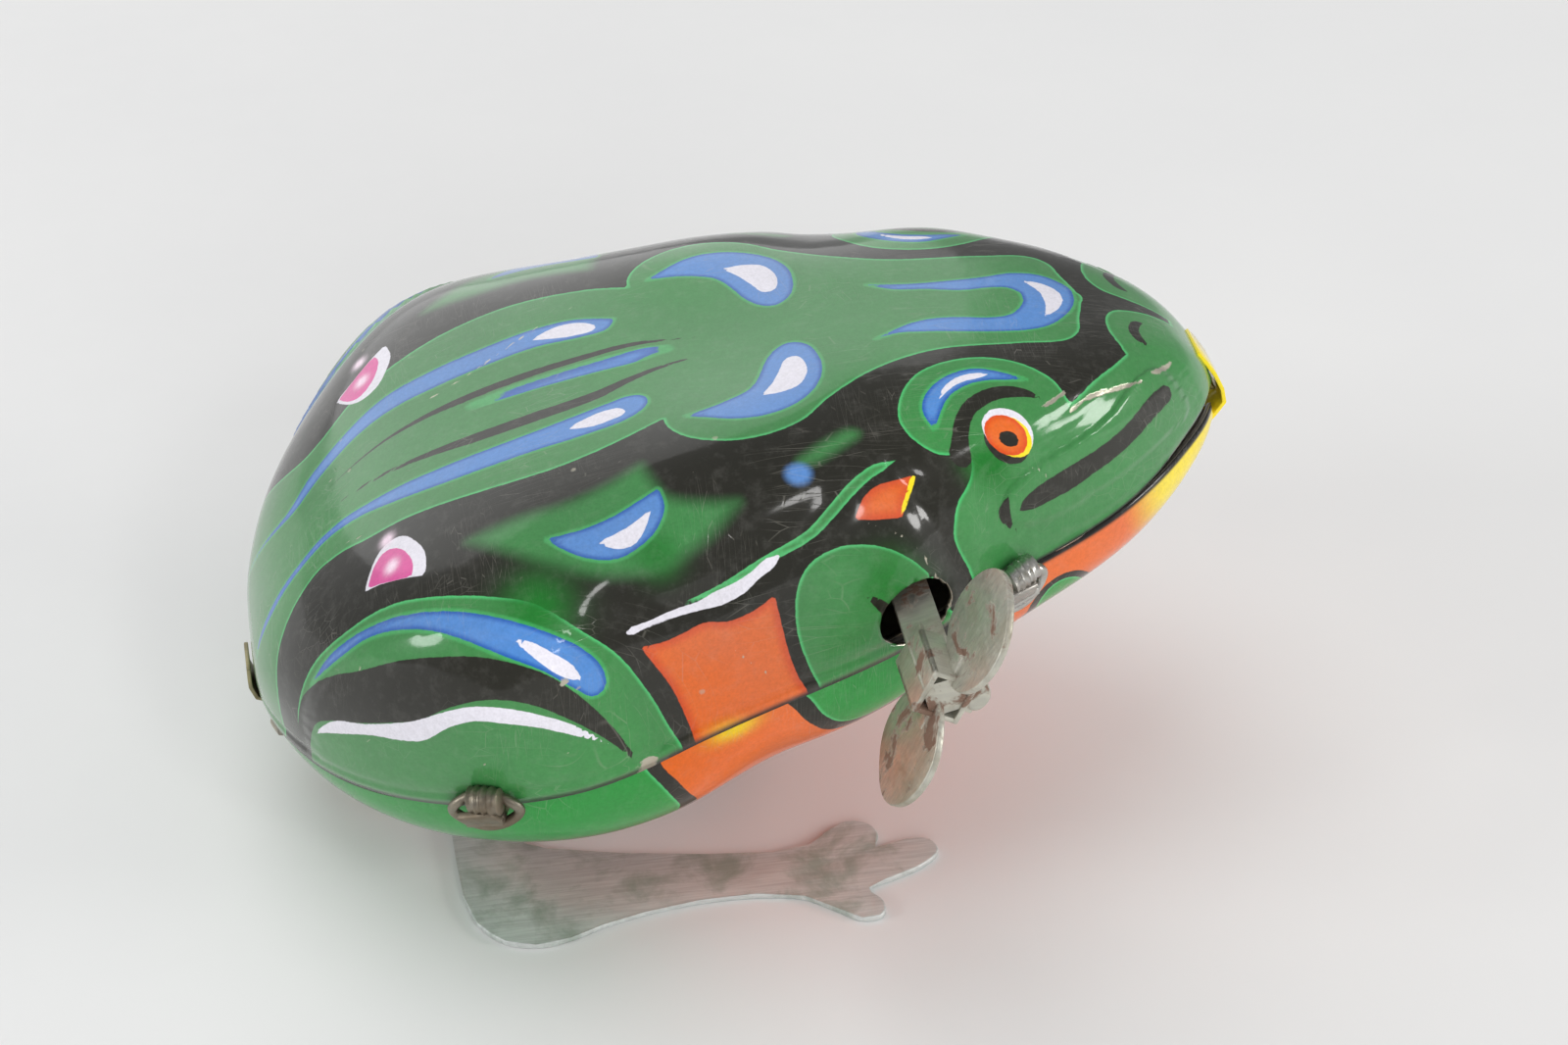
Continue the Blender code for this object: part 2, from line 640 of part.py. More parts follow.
def gear_train():
    wheel_bore = circle(ARBOR_RADIUS + RUNNING_FIT)
    click_hole = circle(CLICK_RIVET_RADIUS + RUNNING_FIT, 16, (0, CLICK_PIVOT_RADIUS))
    great = sheet(
        "great_wheel",
        [gear_outline(WHEEL_TEETH, MODULE, TRAIN_LEAN, BACKLASH), wheel_bore, click_hole],
        WHEEL_OUTER_Y,
        WHEEL_INNER_Y,
    )
    finish(at(great, ARBOR_X, ARBOR_Z), "great_wheel", BRASS)
    pinion_turn = TRAIN_LEAN + math.pi + math.pi / PINION_TEETH
    shaft_bore = circle(CAM_SHAFT_RADIUS + RUNNING_FIT)
    pinion = sheet(
        "cam_pinion",
        [gear_outline(PINION_TEETH, MODULE, pinion_turn, BACKLASH), shaft_bore],
        WHEEL_OUTER_Y - 0.2 * MM,
        WHEEL_INNER_Y + 0.2 * MM,
    )
    finish(at(pinion, CAM_X, CAM_Z), "cam_pinion", BRASS)
    middle = EAR_INNER_Y + LEG_SHEET / 2
    cam = sheet("leg_cam", [cam_outline(), shaft_bore], middle - CAM_THICK / 2, middle + CAM_THICK / 2)
    finish(at(cam, CAM_X, CAM_Z), "leg_cam", BARE_STEEL)
    ends = PLATE_OUTER_Y + PIN_END
    shaft = rod("cam_arbor", CAM_SHAFT_RADIUS, -ends, ends)
    finish(at(shaft, CAM_X, CAM_Z), "cam_arbor", BARE_STEEL)


def ratchet_and_click():
    face = WHEEL_INNER_Y + SHEET_GAP
    bore = circle(ARBOR_RADIUS + RUNNING_FIT)
    ratchet = sheet("ratchet_wheel", [ratchet_outline(), bore], face, face + RATCHET_THICK)
    finish(at(ratchet, ARBOR_X, ARBOR_Z), "ratchet_wheel", BARE_STEEL)
    pivot_z = ARBOR_Z + CLICK_PIVOT_RADIUS
    rivet = rod("click_rivet", CLICK_RIVET_RADIUS, WHEEL_OUTER_Y - 0.2 * MM, face + RATCHET_THICK + 0.2 * MM, 16)
    finish(at(rivet, ARBOR_X, pivot_z), "click_rivet", BRASS)
    tip = math.radians(62)
    nose = Vector((RATCHET_RADIUS * math.cos(tip), RATCHET_RADIUS * math.sin(tip) - CLICK_PIVOT_RADIUS))
    nose -= 0.12 * nose
    heel = 1.15 * MM
    outline = [(nose.x, nose.y), (nose.x + 0.75 * MM, nose.y + 0.25 * MM)]
    outline += [(heel * math.cos(a), heel * math.sin(a)) for a in np.linspace(-0.4, math.pi, 9)]
    click_bore = circle(CLICK_RIVET_RADIUS + RUNNING_FIT, 16)
    click = sheet("click_pawl", [outline, click_bore], face, face + RATCHET_THICK)
    finish(at(click, ARBOR_X, pivot_z), "click_pawl", BARE_STEEL)


def mainspring():
    """A flat spiral between the wheel and the left plate, its outer end hooked on the front pillar."""
    low = WHEEL_INNER_Y + RATCHET_THICK + 0.8 * MM
    inner = ARBOR_RADIUS + 0.6 * MM
    steps = SPRING_TURNS * 20
    end = math.atan2(PILLARS["pillar_front"][1] - ARBOR_Z, PILLARS["pillar_front"][0] - ARBOR_X)
    one, other = [], []
    for i in range(steps + 1):
        turn = end - 2 * math.pi * (steps - i) / 20
        radius = inner + (SPRING_OUTER - inner) * i / steps
        for line, away in ((one, 0.0), (other, SPRING_STRIP)):
            line.append(((radius + away) * math.cos(turn), (radius + away) * math.sin(turn)))
    coil = sheet("mainspring", [one + other[::-1]], low, low + SPRING_WIDTH)
    finish(at(coil, ARBOR_X, ARBOR_Z), "mainspring", SPRING_STEEL)


# ---------------------------------------------------------------- legs
def to_legs(x, z):
    """A body-frame place seen from the leg hinge, turned level with the ground."""
    cos, sin = math.cos(NOSE_UP), math.sin(NOSE_UP)
    dx, dz = x - HINGE_X, z - HINGE_Z
    return (dx * cos - dz * sin, dx * sin + dz * cos)


def hinge_height():
    return REAR_SEAM_HEIGHT + HINGE_X * math.sin(NOSE_UP) + HINGE_Z * math.cos(NOSE_UP)


def ear_outline(floor, with_arm):
    """The ear round the hinge pin and, on one side, the follower arm that rides over the cam."""
    back = -CROSS_BAR_BACK
    outline = [(back, floor), (back + 3.2 * MM, floor), (1.6 * MM, -2.2 * MM)]
    if with_arm:
        lift = CAM_HIGH + SHEET_GAP
        low = [(HINGE_X + 3 * MM, HINGE_Z - 1.4 * MM), (HINGE_X + 7 * MM, HINGE_Z - 1.2 * MM)]
        low += [(CAM_X - 3.3 * MM, CAM_Z + lift), (CAM_X + 2.7 * MM, CAM_Z + lift)]
        high = [(x, z + ARM_WIDTH) for x, z in reversed(low[2:])]
        high += [(HINGE_X + 6.2 * MM, HINGE_Z + 0.6 * MM), (HINGE_X + 3 * MM, HINGE_Z + 0.6 * MM)]
        outline += [to_legs(x, z) for x, z in low + high]
    outline += [(EAR_RADIUS * math.cos(a), EAR_RADIUS * math.sin(a)) for a in np.linspace(0.3, math.pi, 9)]
    return outline


def leg_plate():
    """One stamping: two flat legs, the bar that joins them, the riser and its two hinge ears."""
    height = hinge_height()
    rear = -CROSS_BAR_BACK
    right = [(rear + u * MM, -v * MM) for u, v in LEG_OUTLINE[1:-1]]
    left = [(u, -v) for u, v in reversed(right)]
    plate = sheet("leg_plate", [right + left], -height, LEG_SHEET - height, upright=False)
    hinge = body_to_world(HINGE_X, HINGE_Z)
    plate.location = hinge
    finish(plate, "leg_plate", BARE_STEEL, parent=None)
    ear_outer = EAR_INNER_Y + LEG_SHEET
    riser = box("riser", (rear, -ear_outer, -height + 0.1 * MM), (rear + LEG_SHEET, ear_outer, -EAR_RADIUS))
    pieces = [riser]
    for side in (-1, 1):
        low, high = sorted((side * EAR_INNER_Y, side * ear_outer))
        bore = circle(HINGE_RADIUS + RUNNING_FIT)
        outline = ear_outline(-height + 2.2 * MM, side > 0)
        pieces.append(sheet("ear", [outline, bore], low, high))
    for index, piece in enumerate(pieces):
        piece.location = hinge
        boolean(plate, helper(piece, "leg_piece_" + "abc"[index], parent=None), "UNION")


def body_to_world(x, z):
    cos, sin = math.cos(NOSE_UP), math.sin(NOSE_UP)
    return (body.location.x + x * cos - z * sin, 0, body.location.z + x * sin + z * cos)


def leg_spring():
    """Torsion spring on the hinge pin: one end on the riser, one under the belly pillar."""
    wire_radius = 0.3 * MM
    coil = HINGE_RADIUS + 0.35 * MM + wire_radius
    turns, per_turn = 4, 12
    start_y = -2 * MM
    pitch = 2.6 * wire_radius
    points = [(0.45 * MM, start_y, -6 * MM)]
    for i in range(turns * per_turn + 1):
        turn = math.radians(20) - 2 * math.pi * i / per_turn
        points.append((coil * math.cos(turn), start_y + pitch * i / per_turn, coil * math.sin(turn)))
    end_y = start_y + pitch * turns + 0.4 * MM
    points.append((7.5 * MM, end_y, -1.0 * MM))
    points.append((12.2 * MM, end_y, -2.0 * MM))
    spring = wire("leg_spring", points, wire_radius)
    finish(at(spring, HINGE_X, HINGE_Z), "leg_spring", SPRING_STEEL)


def pins():
    ends = PLATE_OUTER_Y + PIN_END
    for name, (x, z) in PILLARS.items():
        finish(at(rod(name, PILLAR_RADIUS, -ends, ends), x, z), name, BARE_STEEL)
    pin = rod("hinge_pin", HINGE_RADIUS, -ends, ends)
    finish(at(pin, HINGE_X, HINGE_Z), "hinge_pin", BARE_STEEL)


upper = upper_shell()
lower = lower_shell()
seam_slots(upper, lower)
for place in CLIP_PLACES:
    for side, word in ((-1, "right"), (1, "left")):
        seam_lug(place, side, "seam_lug_" + place + "_" + word)
        seam_ring(place, side, "seam_ring_" + place + "_" + word)
frame_plate(-1, "frame_plate_right")
frame_plate(1, "frame_plate_left")
pins()
mainspring()
winding_arbor()
winding_key()
gear_train()
ratchet_and_click()
leg_plate()
leg_spring()
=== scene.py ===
"""Looks of the tin jumping frog: printed shells, steel key, clips and legs over its clockwork."""
import math

import bmesh
import bpy
import numpy as np
from mathutils import Matrix, Vector


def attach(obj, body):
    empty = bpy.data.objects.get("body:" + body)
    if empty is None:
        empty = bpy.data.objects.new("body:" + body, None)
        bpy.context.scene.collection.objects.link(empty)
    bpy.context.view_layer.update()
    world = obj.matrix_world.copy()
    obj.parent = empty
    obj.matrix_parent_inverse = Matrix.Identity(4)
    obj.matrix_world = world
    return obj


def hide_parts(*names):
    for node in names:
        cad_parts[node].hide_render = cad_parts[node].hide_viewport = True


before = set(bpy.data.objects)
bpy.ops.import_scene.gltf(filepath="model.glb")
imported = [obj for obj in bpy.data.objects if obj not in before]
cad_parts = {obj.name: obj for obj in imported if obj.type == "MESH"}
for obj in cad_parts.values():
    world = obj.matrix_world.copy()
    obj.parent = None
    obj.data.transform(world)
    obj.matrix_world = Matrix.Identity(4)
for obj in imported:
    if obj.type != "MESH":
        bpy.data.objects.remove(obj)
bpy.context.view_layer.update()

# ------------------------------------------------------------ sizes, in millimetres
LENGTH, HALF_WIDTH, CREST, DEPTH = 71.4, 23.1, 17.1, 10.3
NOSE_UP = math.radians(13.6)
REAR_SEAM = Vector((-14.905, 0, 10.0))
TIN = 0.3
LOWER_INSET = 0.7
SEAM_OUTLINE = [
    (1.0, 0.0), (0.982, 0.16), (0.943, 0.307), (0.88, 0.472), (0.756, 0.641), (0.606, 0.818),
    (0.424, 0.931), (0.289, 1.0), (0.137, 0.81), (0.042, 0.468), (0.0, 0.0),
]
CREST_LINE = [
    (0.0, 0.0), (0.02, 0.33), (0.06, 0.55), (0.12, 0.73), (0.21, 0.915), (0.32, 0.995),
    (0.42, 0.995), (0.5, 0.955), (0.56, 0.93), (0.64, 0.912), (0.72, 0.845), (0.8, 0.755),
    (0.87, 0.66), (0.93, 0.53), (0.965, 0.4), (0.99, 0.22), (1.0, 0.0),
]
BELLY_LINE = [
    (0.0, 0.0), (0.03, 0.38), (0.085, 0.62), (0.18, 0.86), (0.29, 1.0), (0.46, 1.0),
    (0.6, 0.86), (0.76, 0.7), (0.88, 0.53), (0.945, 0.36), (0.985, 0.17), (1.0, 0.0),
]
CROWN = 0.46 * LENGTH
UPPER_SECTION, LOWER_SECTION = 4.0, 2.85
GIRTH_SHARE = 0.877
# Swellings of the upper shell: centre, size, height, outward lean in degrees
BUMPS = [
    ((45.7, 18.5, 5.0), 6.5, 1.3, 75), ((17.1, 19.5, 9.0), 8.0, 1.3, 55),
    ((55.3, 12.7, 10.0), 4.5, 0.8, 45), ((37.5, 12.5, 14.0), 6.5, 1.0, 15),
    ((46.0, 12.0, 12.5), 3.8, -0.6, 20),
]
# Old dents in the upper shell: along, out, size, depth
DENTS = [
    (24, 17, 3, 0.12), (37, 15, 4, 0.15), (52, 20, 2.5, 0.12), (18.8, 23.4, 1.9, 0.3),
    (21.8, 25.6, 1.7, -0.22), (13, 21.5, 2.4, 0.16), (31, 27.5, 2.2, 0.14),
    (34.5, 29.5, 2.0, -0.12),
]
KEY_X, KEY_Z = 0.642 * LENGTH, 2.9
KEY_HOLE = 2.7
KEY_TURN = math.radians(-50)
KEY_STAND_OFF, KEY_SLEEVE, KEY_HALF, KEY_WALL = 5.4, 5.0, 1.72, 0.42
KEY_WING = 4.2
KEY_WING_REACH = {1: 5.0, -1: 4.75}
HINGE_X, HINGE_Z = 0.183 * LENGTH, -3.0
CLIP_X = {"rear": 0.209 * LENGTH, "front": 0.735 * LENGTH}
LUG_HALF, LUG_HALF_THICK = 1.3, 0.28
PLATE_FACE = 7.9
RING_LONG, RING_SHORT, RING_WIRE = 2.35, 1.3, 0.38
TAB_HALF, TAB_THICK = 1.7, 0.3
MOUTH_START = 51.5

BODY = Matrix.Scale(0.001, 4) @ Matrix.Translation(REAR_SEAM) @ Matrix.Rotation(-NOSE_UP, 4, "Y")


# ------------------------------------------------------------ pressed shape
def spline(places, values):
    """A smooth curve through the points, flat at neither end, for whole arrays of places."""
    places, values = np.array(places, float), np.array(values, float)
    step = np.diff(places)
    rise = np.diff(values) / step
    slope = np.zeros(len(places))
    slope[1:-1] = (rise[:-1] * step[1:] + rise[1:] * step[:-1]) / (step[:-1] + step[1:])

    def at(place):
        place = np.clip(place, places[0], places[-1])
        i = np.clip(np.searchsorted(places, place, side="right") - 1, 0, len(step) - 1)
        s = (place - places[i]) / step[i]
        low = (1 + 2 * s) * (1 - s) ** 2 * values[i] + s * (1 - s) ** 2 * step[i] * slope[i]
        return low + s * s * (3 - 2 * s) * values[i + 1] + s * s * (s - 1) * step[i] * slope[i + 1]

    return at


def seam_line():
    """The seam outline as x and half width, sampled from its curve about the crown."""
    around = [(x * LENGTH - CROWN, y * HALF_WIDTH) for x, y in SEAM_OUTLINE]
    reach = spline([math.atan2(y, x) for x, y in around], [math.hypot(x, y) for x, y in around])
    turn = np.linspace(math.pi, 0, 1501)
    return CROWN + reach(turn) * np.cos(turn), reach(turn) * np.sin(turn)


SEAM_X, SEAM_Y = seam_line()


def half_width(x):
    return np.interp(x, SEAM_X, SEAM_Y)


def end_to_end(line, height):
    curve = spline([math.acos(1 - 2 * x) for x, _ in line], [z * height for _, z in line])
    return lambda x: curve(np.arccos(np.clip(1 - 2 * np.asarray(x) / LENGTH, -1, 1)))


crest, belly = end_to_end(CREST_LINE, CREST), end_to_end(BELLY_LINE, DEPTH)
SECTION_TURN = np.linspace(0, math.pi / 2, 400)


def section_run(power):
    out = np.sin(SECTION_TURN) ** (2 / power) * HALF_WIDTH
    down = np.cos(SECTION_TURN) ** (2 / power) * CREST
    run = np.concatenate([[0], np.cumsum(np.hypot(np.diff(out), np.diff(down)))])
    return run / run[-1]


def across(share, power):
    """How far out a point lies, from its share of the way round the section."""
    return np.sin(np.interp(share, section_run(power), SECTION_TURN)) ** (2 / power)


def even_places(profile, rows):
    """Places along the length with equal steps along the profile."""
    x = LENGTH * (1 - np.cos(np.linspace(0, math.pi, 2001))) / 2
    run = np.concatenate([[0], np.cumsum(np.hypot(np.diff(x), np.diff(profile(x))))])
    return np.interp(np.linspace(0, run[-1], rows + 1), run, x)


def gauss(distance, reach):
    return np.exp(-((distance / reach) ** 2))


def half_ball(rows, columns, side):
    """Half of a ball with its poles at the nose and the tail, as an open sheet."""
    bm = bmesh.new()
    bmesh.ops.create_uvsphere(bm, u_segments=2 * columns, v_segments=rows, radius=1)
    bmesh.ops.rotate(bm, matrix=Matrix.Rotation(math.pi / 2, 3, "Y"), verts=bm.verts)
    beyond = [v for v in bm.verts if v.co.z * side < -1e-4]
    bmesh.ops.delete(bm, geom=beyond, context="VERTS")
    return bm


def ball_shares(bm, side):
    """Each vertex's share of the length and of the way from crown to seam, and its side."""
    at = np.array([v.co for v in bm.verts], float)
    along = np.arccos(np.clip(-at[:, 0], -1, 1)) / math.pi
    round_share = np.arctan2(np.abs(at[:, 1]), np.maximum(at[:, 2] * side, 0)) / (math.pi / 2)
    return along, round_share, np.where(at[:, 1] < 0, -1.0, 1.0)


def mouth_cut(x):
    """How far the upper rim is cut away over the mouth, so that a dark gap shows there."""
    start = np.clip((x - MOUTH_START) / 3.5, 0, 1)
    return start * start * (3 - 2 * start) * (0.72 + 0.6 * np.clip((x - 60) / 10, 0, 1) ** 2)


def pressed_top(bm, rows):
    along, share, way = ball_shares(bm, 1)
    x = np.interp(along, np.linspace(0, 1, rows + 1), even_places(crest, rows))
    width = half_width(x)
    whole = GIRTH_SHARE * (width + crest(x))
    share = share * (1 - np.minimum(mouth_cut(x) / np.maximum(whole, 0.1), 0.3))
    out = across(share, UPPER_SECTION)
    y = way * out * width
    z = crest(x) * (1 - np.minimum(out, 1) ** UPPER_SECTION) ** (1 / UPPER_SECTION)
    girth = GIRTH_SHARE * (width + crest(x))
    right = -way * share * girth
    place = np.stack([x, y, z], 1)
    for (along_mm, out_mm, up_mm), reach, amount, lean in BUMPS:
        for side in (-1, 1):
            gap = np.linalg.norm(place - np.array([along_mm, side * out_mm, up_mm]), axis=1)
            swell = amount * gauss(gap, reach) * np.clip(z / 2, 0, 1) * (way == side)
            y = y + side * swell * math.sin(math.radians(lean))
            z = z + swell * math.cos(math.radians(lean))
    reach = np.abs(right)
    raised = top_relief(x, reach, girth)
    outward = np.stack([0.15 * (x - 34) / 34, y / HALF_WIDTH, z / CREST + 0.15], 1)
    outward /= np.linalg.norm(outward, axis=1)[:, None]
    place = np.stack([x, y, z], 1) + outward * (raised * np.clip(z / 1.2, 0, 1))[:, None]
    lip = np.clip(1 - (girth - reach) / 1.0, 0, 1) * np.clip(girth / 8, 0, 1)
    place[:, 1] += way * 0.12 * np.clip(lip * 3, 0, 1)
    for vert, spot in zip(bm.verts, place):
        vert.co = spot
    return x, right, girth


def top_relief(x, reach, girth):
    """The smaller pressings: haunch ridge, neck crease, cheek and mouth folds, and old dents."""
    haunch = signed_gap(x, reach, outline(SHAPES["haunch"]), span=4)
    raised = 0.35 * np.clip(haunch / 1.6, 0, 1)
    mouth = signed_gap(x, reach, outline(SHAPES["mouth"]), span=4)
    raised += 0.22 * gauss(mouth - 1.0, 1.4) - 0.25 * gauss(mouth + 1.2, 1.0)
    neck = gap_to_line(x, reach, [(46.5, 17.0), (48.6, 20.0), (49.2, 23.6)])
    raised -= 0.45 * gauss(neck, 1.0)
    fold = gap_to_line(x, reach, [(27.0, 22.5), (31.0, 23.6), (36.0, 21.6), (42.0, 18.6)])
    raised -= 0.36 * gauss(fold, 1.3)
    raised -= 0.14 * gauss(girth - reach - 1.0, 0.3)
    for dent_x, dent_reach, size, depth in DENTS:
        raised -= depth * gauss(np.hypot(x - dent_x, reach - dent_reach), size)
    return raised


def pressed_bottom(bm, rows):
    along, share, way = ball_shares(bm, -1)
    x = np.interp(along, np.linspace(0, 1, rows + 1), even_places(crest, rows))
    x = CROWN + (x - CROWN) * (1 - LOWER_INSET / (LENGTH / 2))
    width = np.maximum(half_width(x) - LOWER_INSET, 0.02)
    depth = belly(x)
    out = across(share, LOWER_SECTION)
    z = -depth * (1 - np.minimum(out, 1) ** LOWER_SECTION) ** (1 / LOWER_SECTION)
    rear = np.clip(1 - x / 13, 0, 1)
    z = z - (0.12 + 0.95 * np.sqrt(rear)) * share**6
    fold = gauss(x - 33.5, 3.4) * gauss(z + 6.0, 3.0)
    swell = 0.35 * gauss(x - 27, 4.0) * gauss(z + 5.5, 3.0)
    swell += 0.3 * gauss(x - 41, 4.0) * gauss(z + 5.0, 3.0)
    place = np.stack([x, way * (out * width + (swell - 0.7 * fold) * out), z], 1)
    for vert, spot in zip(bm.verts, place):
        vert.co = spot
    return x, (1 - share) * GIRTH_SHARE * (width + depth), way


# ------------------------------------------------------------ flat artwork
def outline(points, closed=True):
    """A smooth outline through few points; a point with a third value is a corner."""
    count = len(points)
    at = np.array([p[:2] for p in points], float)
    corner = [len(p) > 2 for p in points]
    made = []
    for i in range(count if closed else count - 1):
        a, b = at[i], at[(i + 1) % count]
        before, after = at[i - 1], at[(i + 2) % count]
        if not closed:
            before = a if i == 0 else before
            after = b if i + 2 >= count else after
        reach = np.linalg.norm(b - a)
        start = np.zeros(2) if corner[i] else tangent(before, a, b) * reach
        end = np.zeros(2) if corner[(i + 1) % count] else tangent(a, b, after) * reach
        steps = max(2, min(8, int(reach / 0.35)))
        for step in range(steps):
            s = step / steps
            made.append(
                (1 + 2 * s) * (1 - s) ** 2 * a + s * (1 - s) ** 2 * start
                + s * s * (3 - 2 * s) * b + s * s * (s - 1) * end
            )
    if not closed:
        made.append(at[-1])
    return np.array(made)


def tangent(before, here, after):
    into, away = here - before, after - here
    into, away = into / max(np.linalg.norm(into), 1e-6), away / max(np.linalg.norm(away), 1e-6)
    mean = into + away
    return mean / max(np.linalg.norm(mean), 1e-6) * min(np.linalg.norm(mean), 1.0)


def segment_gaps(x, y, a, b):
    way = b - a
    share = ((x - a[0]) * way[0] + (y - a[1]) * way[1]) / max(way @ way, 1e-9)
    share = np.clip(share, 0, 1)
    return np.hypot(x - a[0] - share * way[0], y - a[1] - share * way[1]), share


def signed_gap(x, y, line, span=3.0):
    """Distance to a closed line, positive inside; far points are left at -span or +span."""
    near = (x > line[:, 0].min() - span) & (x < line[:, 0].max() + span)
    near &= (y > line[:, 1].min() - span) & (y < line[:, 1].max() + span)
    px, py = x[near], y[near]
    gap = np.full(px.shape, 1e3)
    inside = np.zeros(px.shape, bool)
    for a, b in zip(line, np.roll(line, -1, axis=0)):
        gap = np.minimum(gap, segment_gaps(px, py, a, b)[0])
        crosses = (a[1] > py) != (b[1] > py)
        turn_x = (b[0] - a[0]) * (py - a[1]) / np.where(b[1] == a[1], 1e-9, b[1] - a[1]) + a[0]
        inside ^= crosses & (px < turn_x)
    result = np.full(x.shape, -span)
    result[near] = np.clip(np.where(inside, gap, -gap), -span, span)
    return result


def gap_to_line(x, y, points):
    line = outline(points, closed=False)
    gap = np.full(x.shape, 1e3)
    for a, b in zip(line[:-1], line[1:]):
        gap = np.minimum(gap, segment_gaps(x, y, a, b)[0])
    return gap


def stroke_gap(x, y, points):
    """Signed distance of a brush stroke: points of (x, y, half width)."""
    near = (x > min(p[0] for p in points) - 3) & (x < max(p[0] for p in points) + 3)
    px, py = x[near], y[near]
    best = np.full(px.shape, -3.0)
    line = outline([p[:2] for p in points], closed=False)
    along = np.concatenate([[0], np.cumsum(np.linalg.norm(np.diff(line, axis=0), axis=1))])
    marks = [0]
    for point in points[1:]:
        marks.append(along[np.argmin(np.hypot(line[:, 0] - point[0], line[:, 1] - point[1]))])
    half = np.interp(along, marks, [p[2] for p in points])
    for i in range(len(line) - 1):
        gap, share = segment_gaps(px, py, line[i], line[i + 1])
        best = np.maximum(best, half[i] + share * (half[i + 1] - half[i]) - gap)
    result = np.full(x.shape, -3.0)
    result[near] = best
    return result


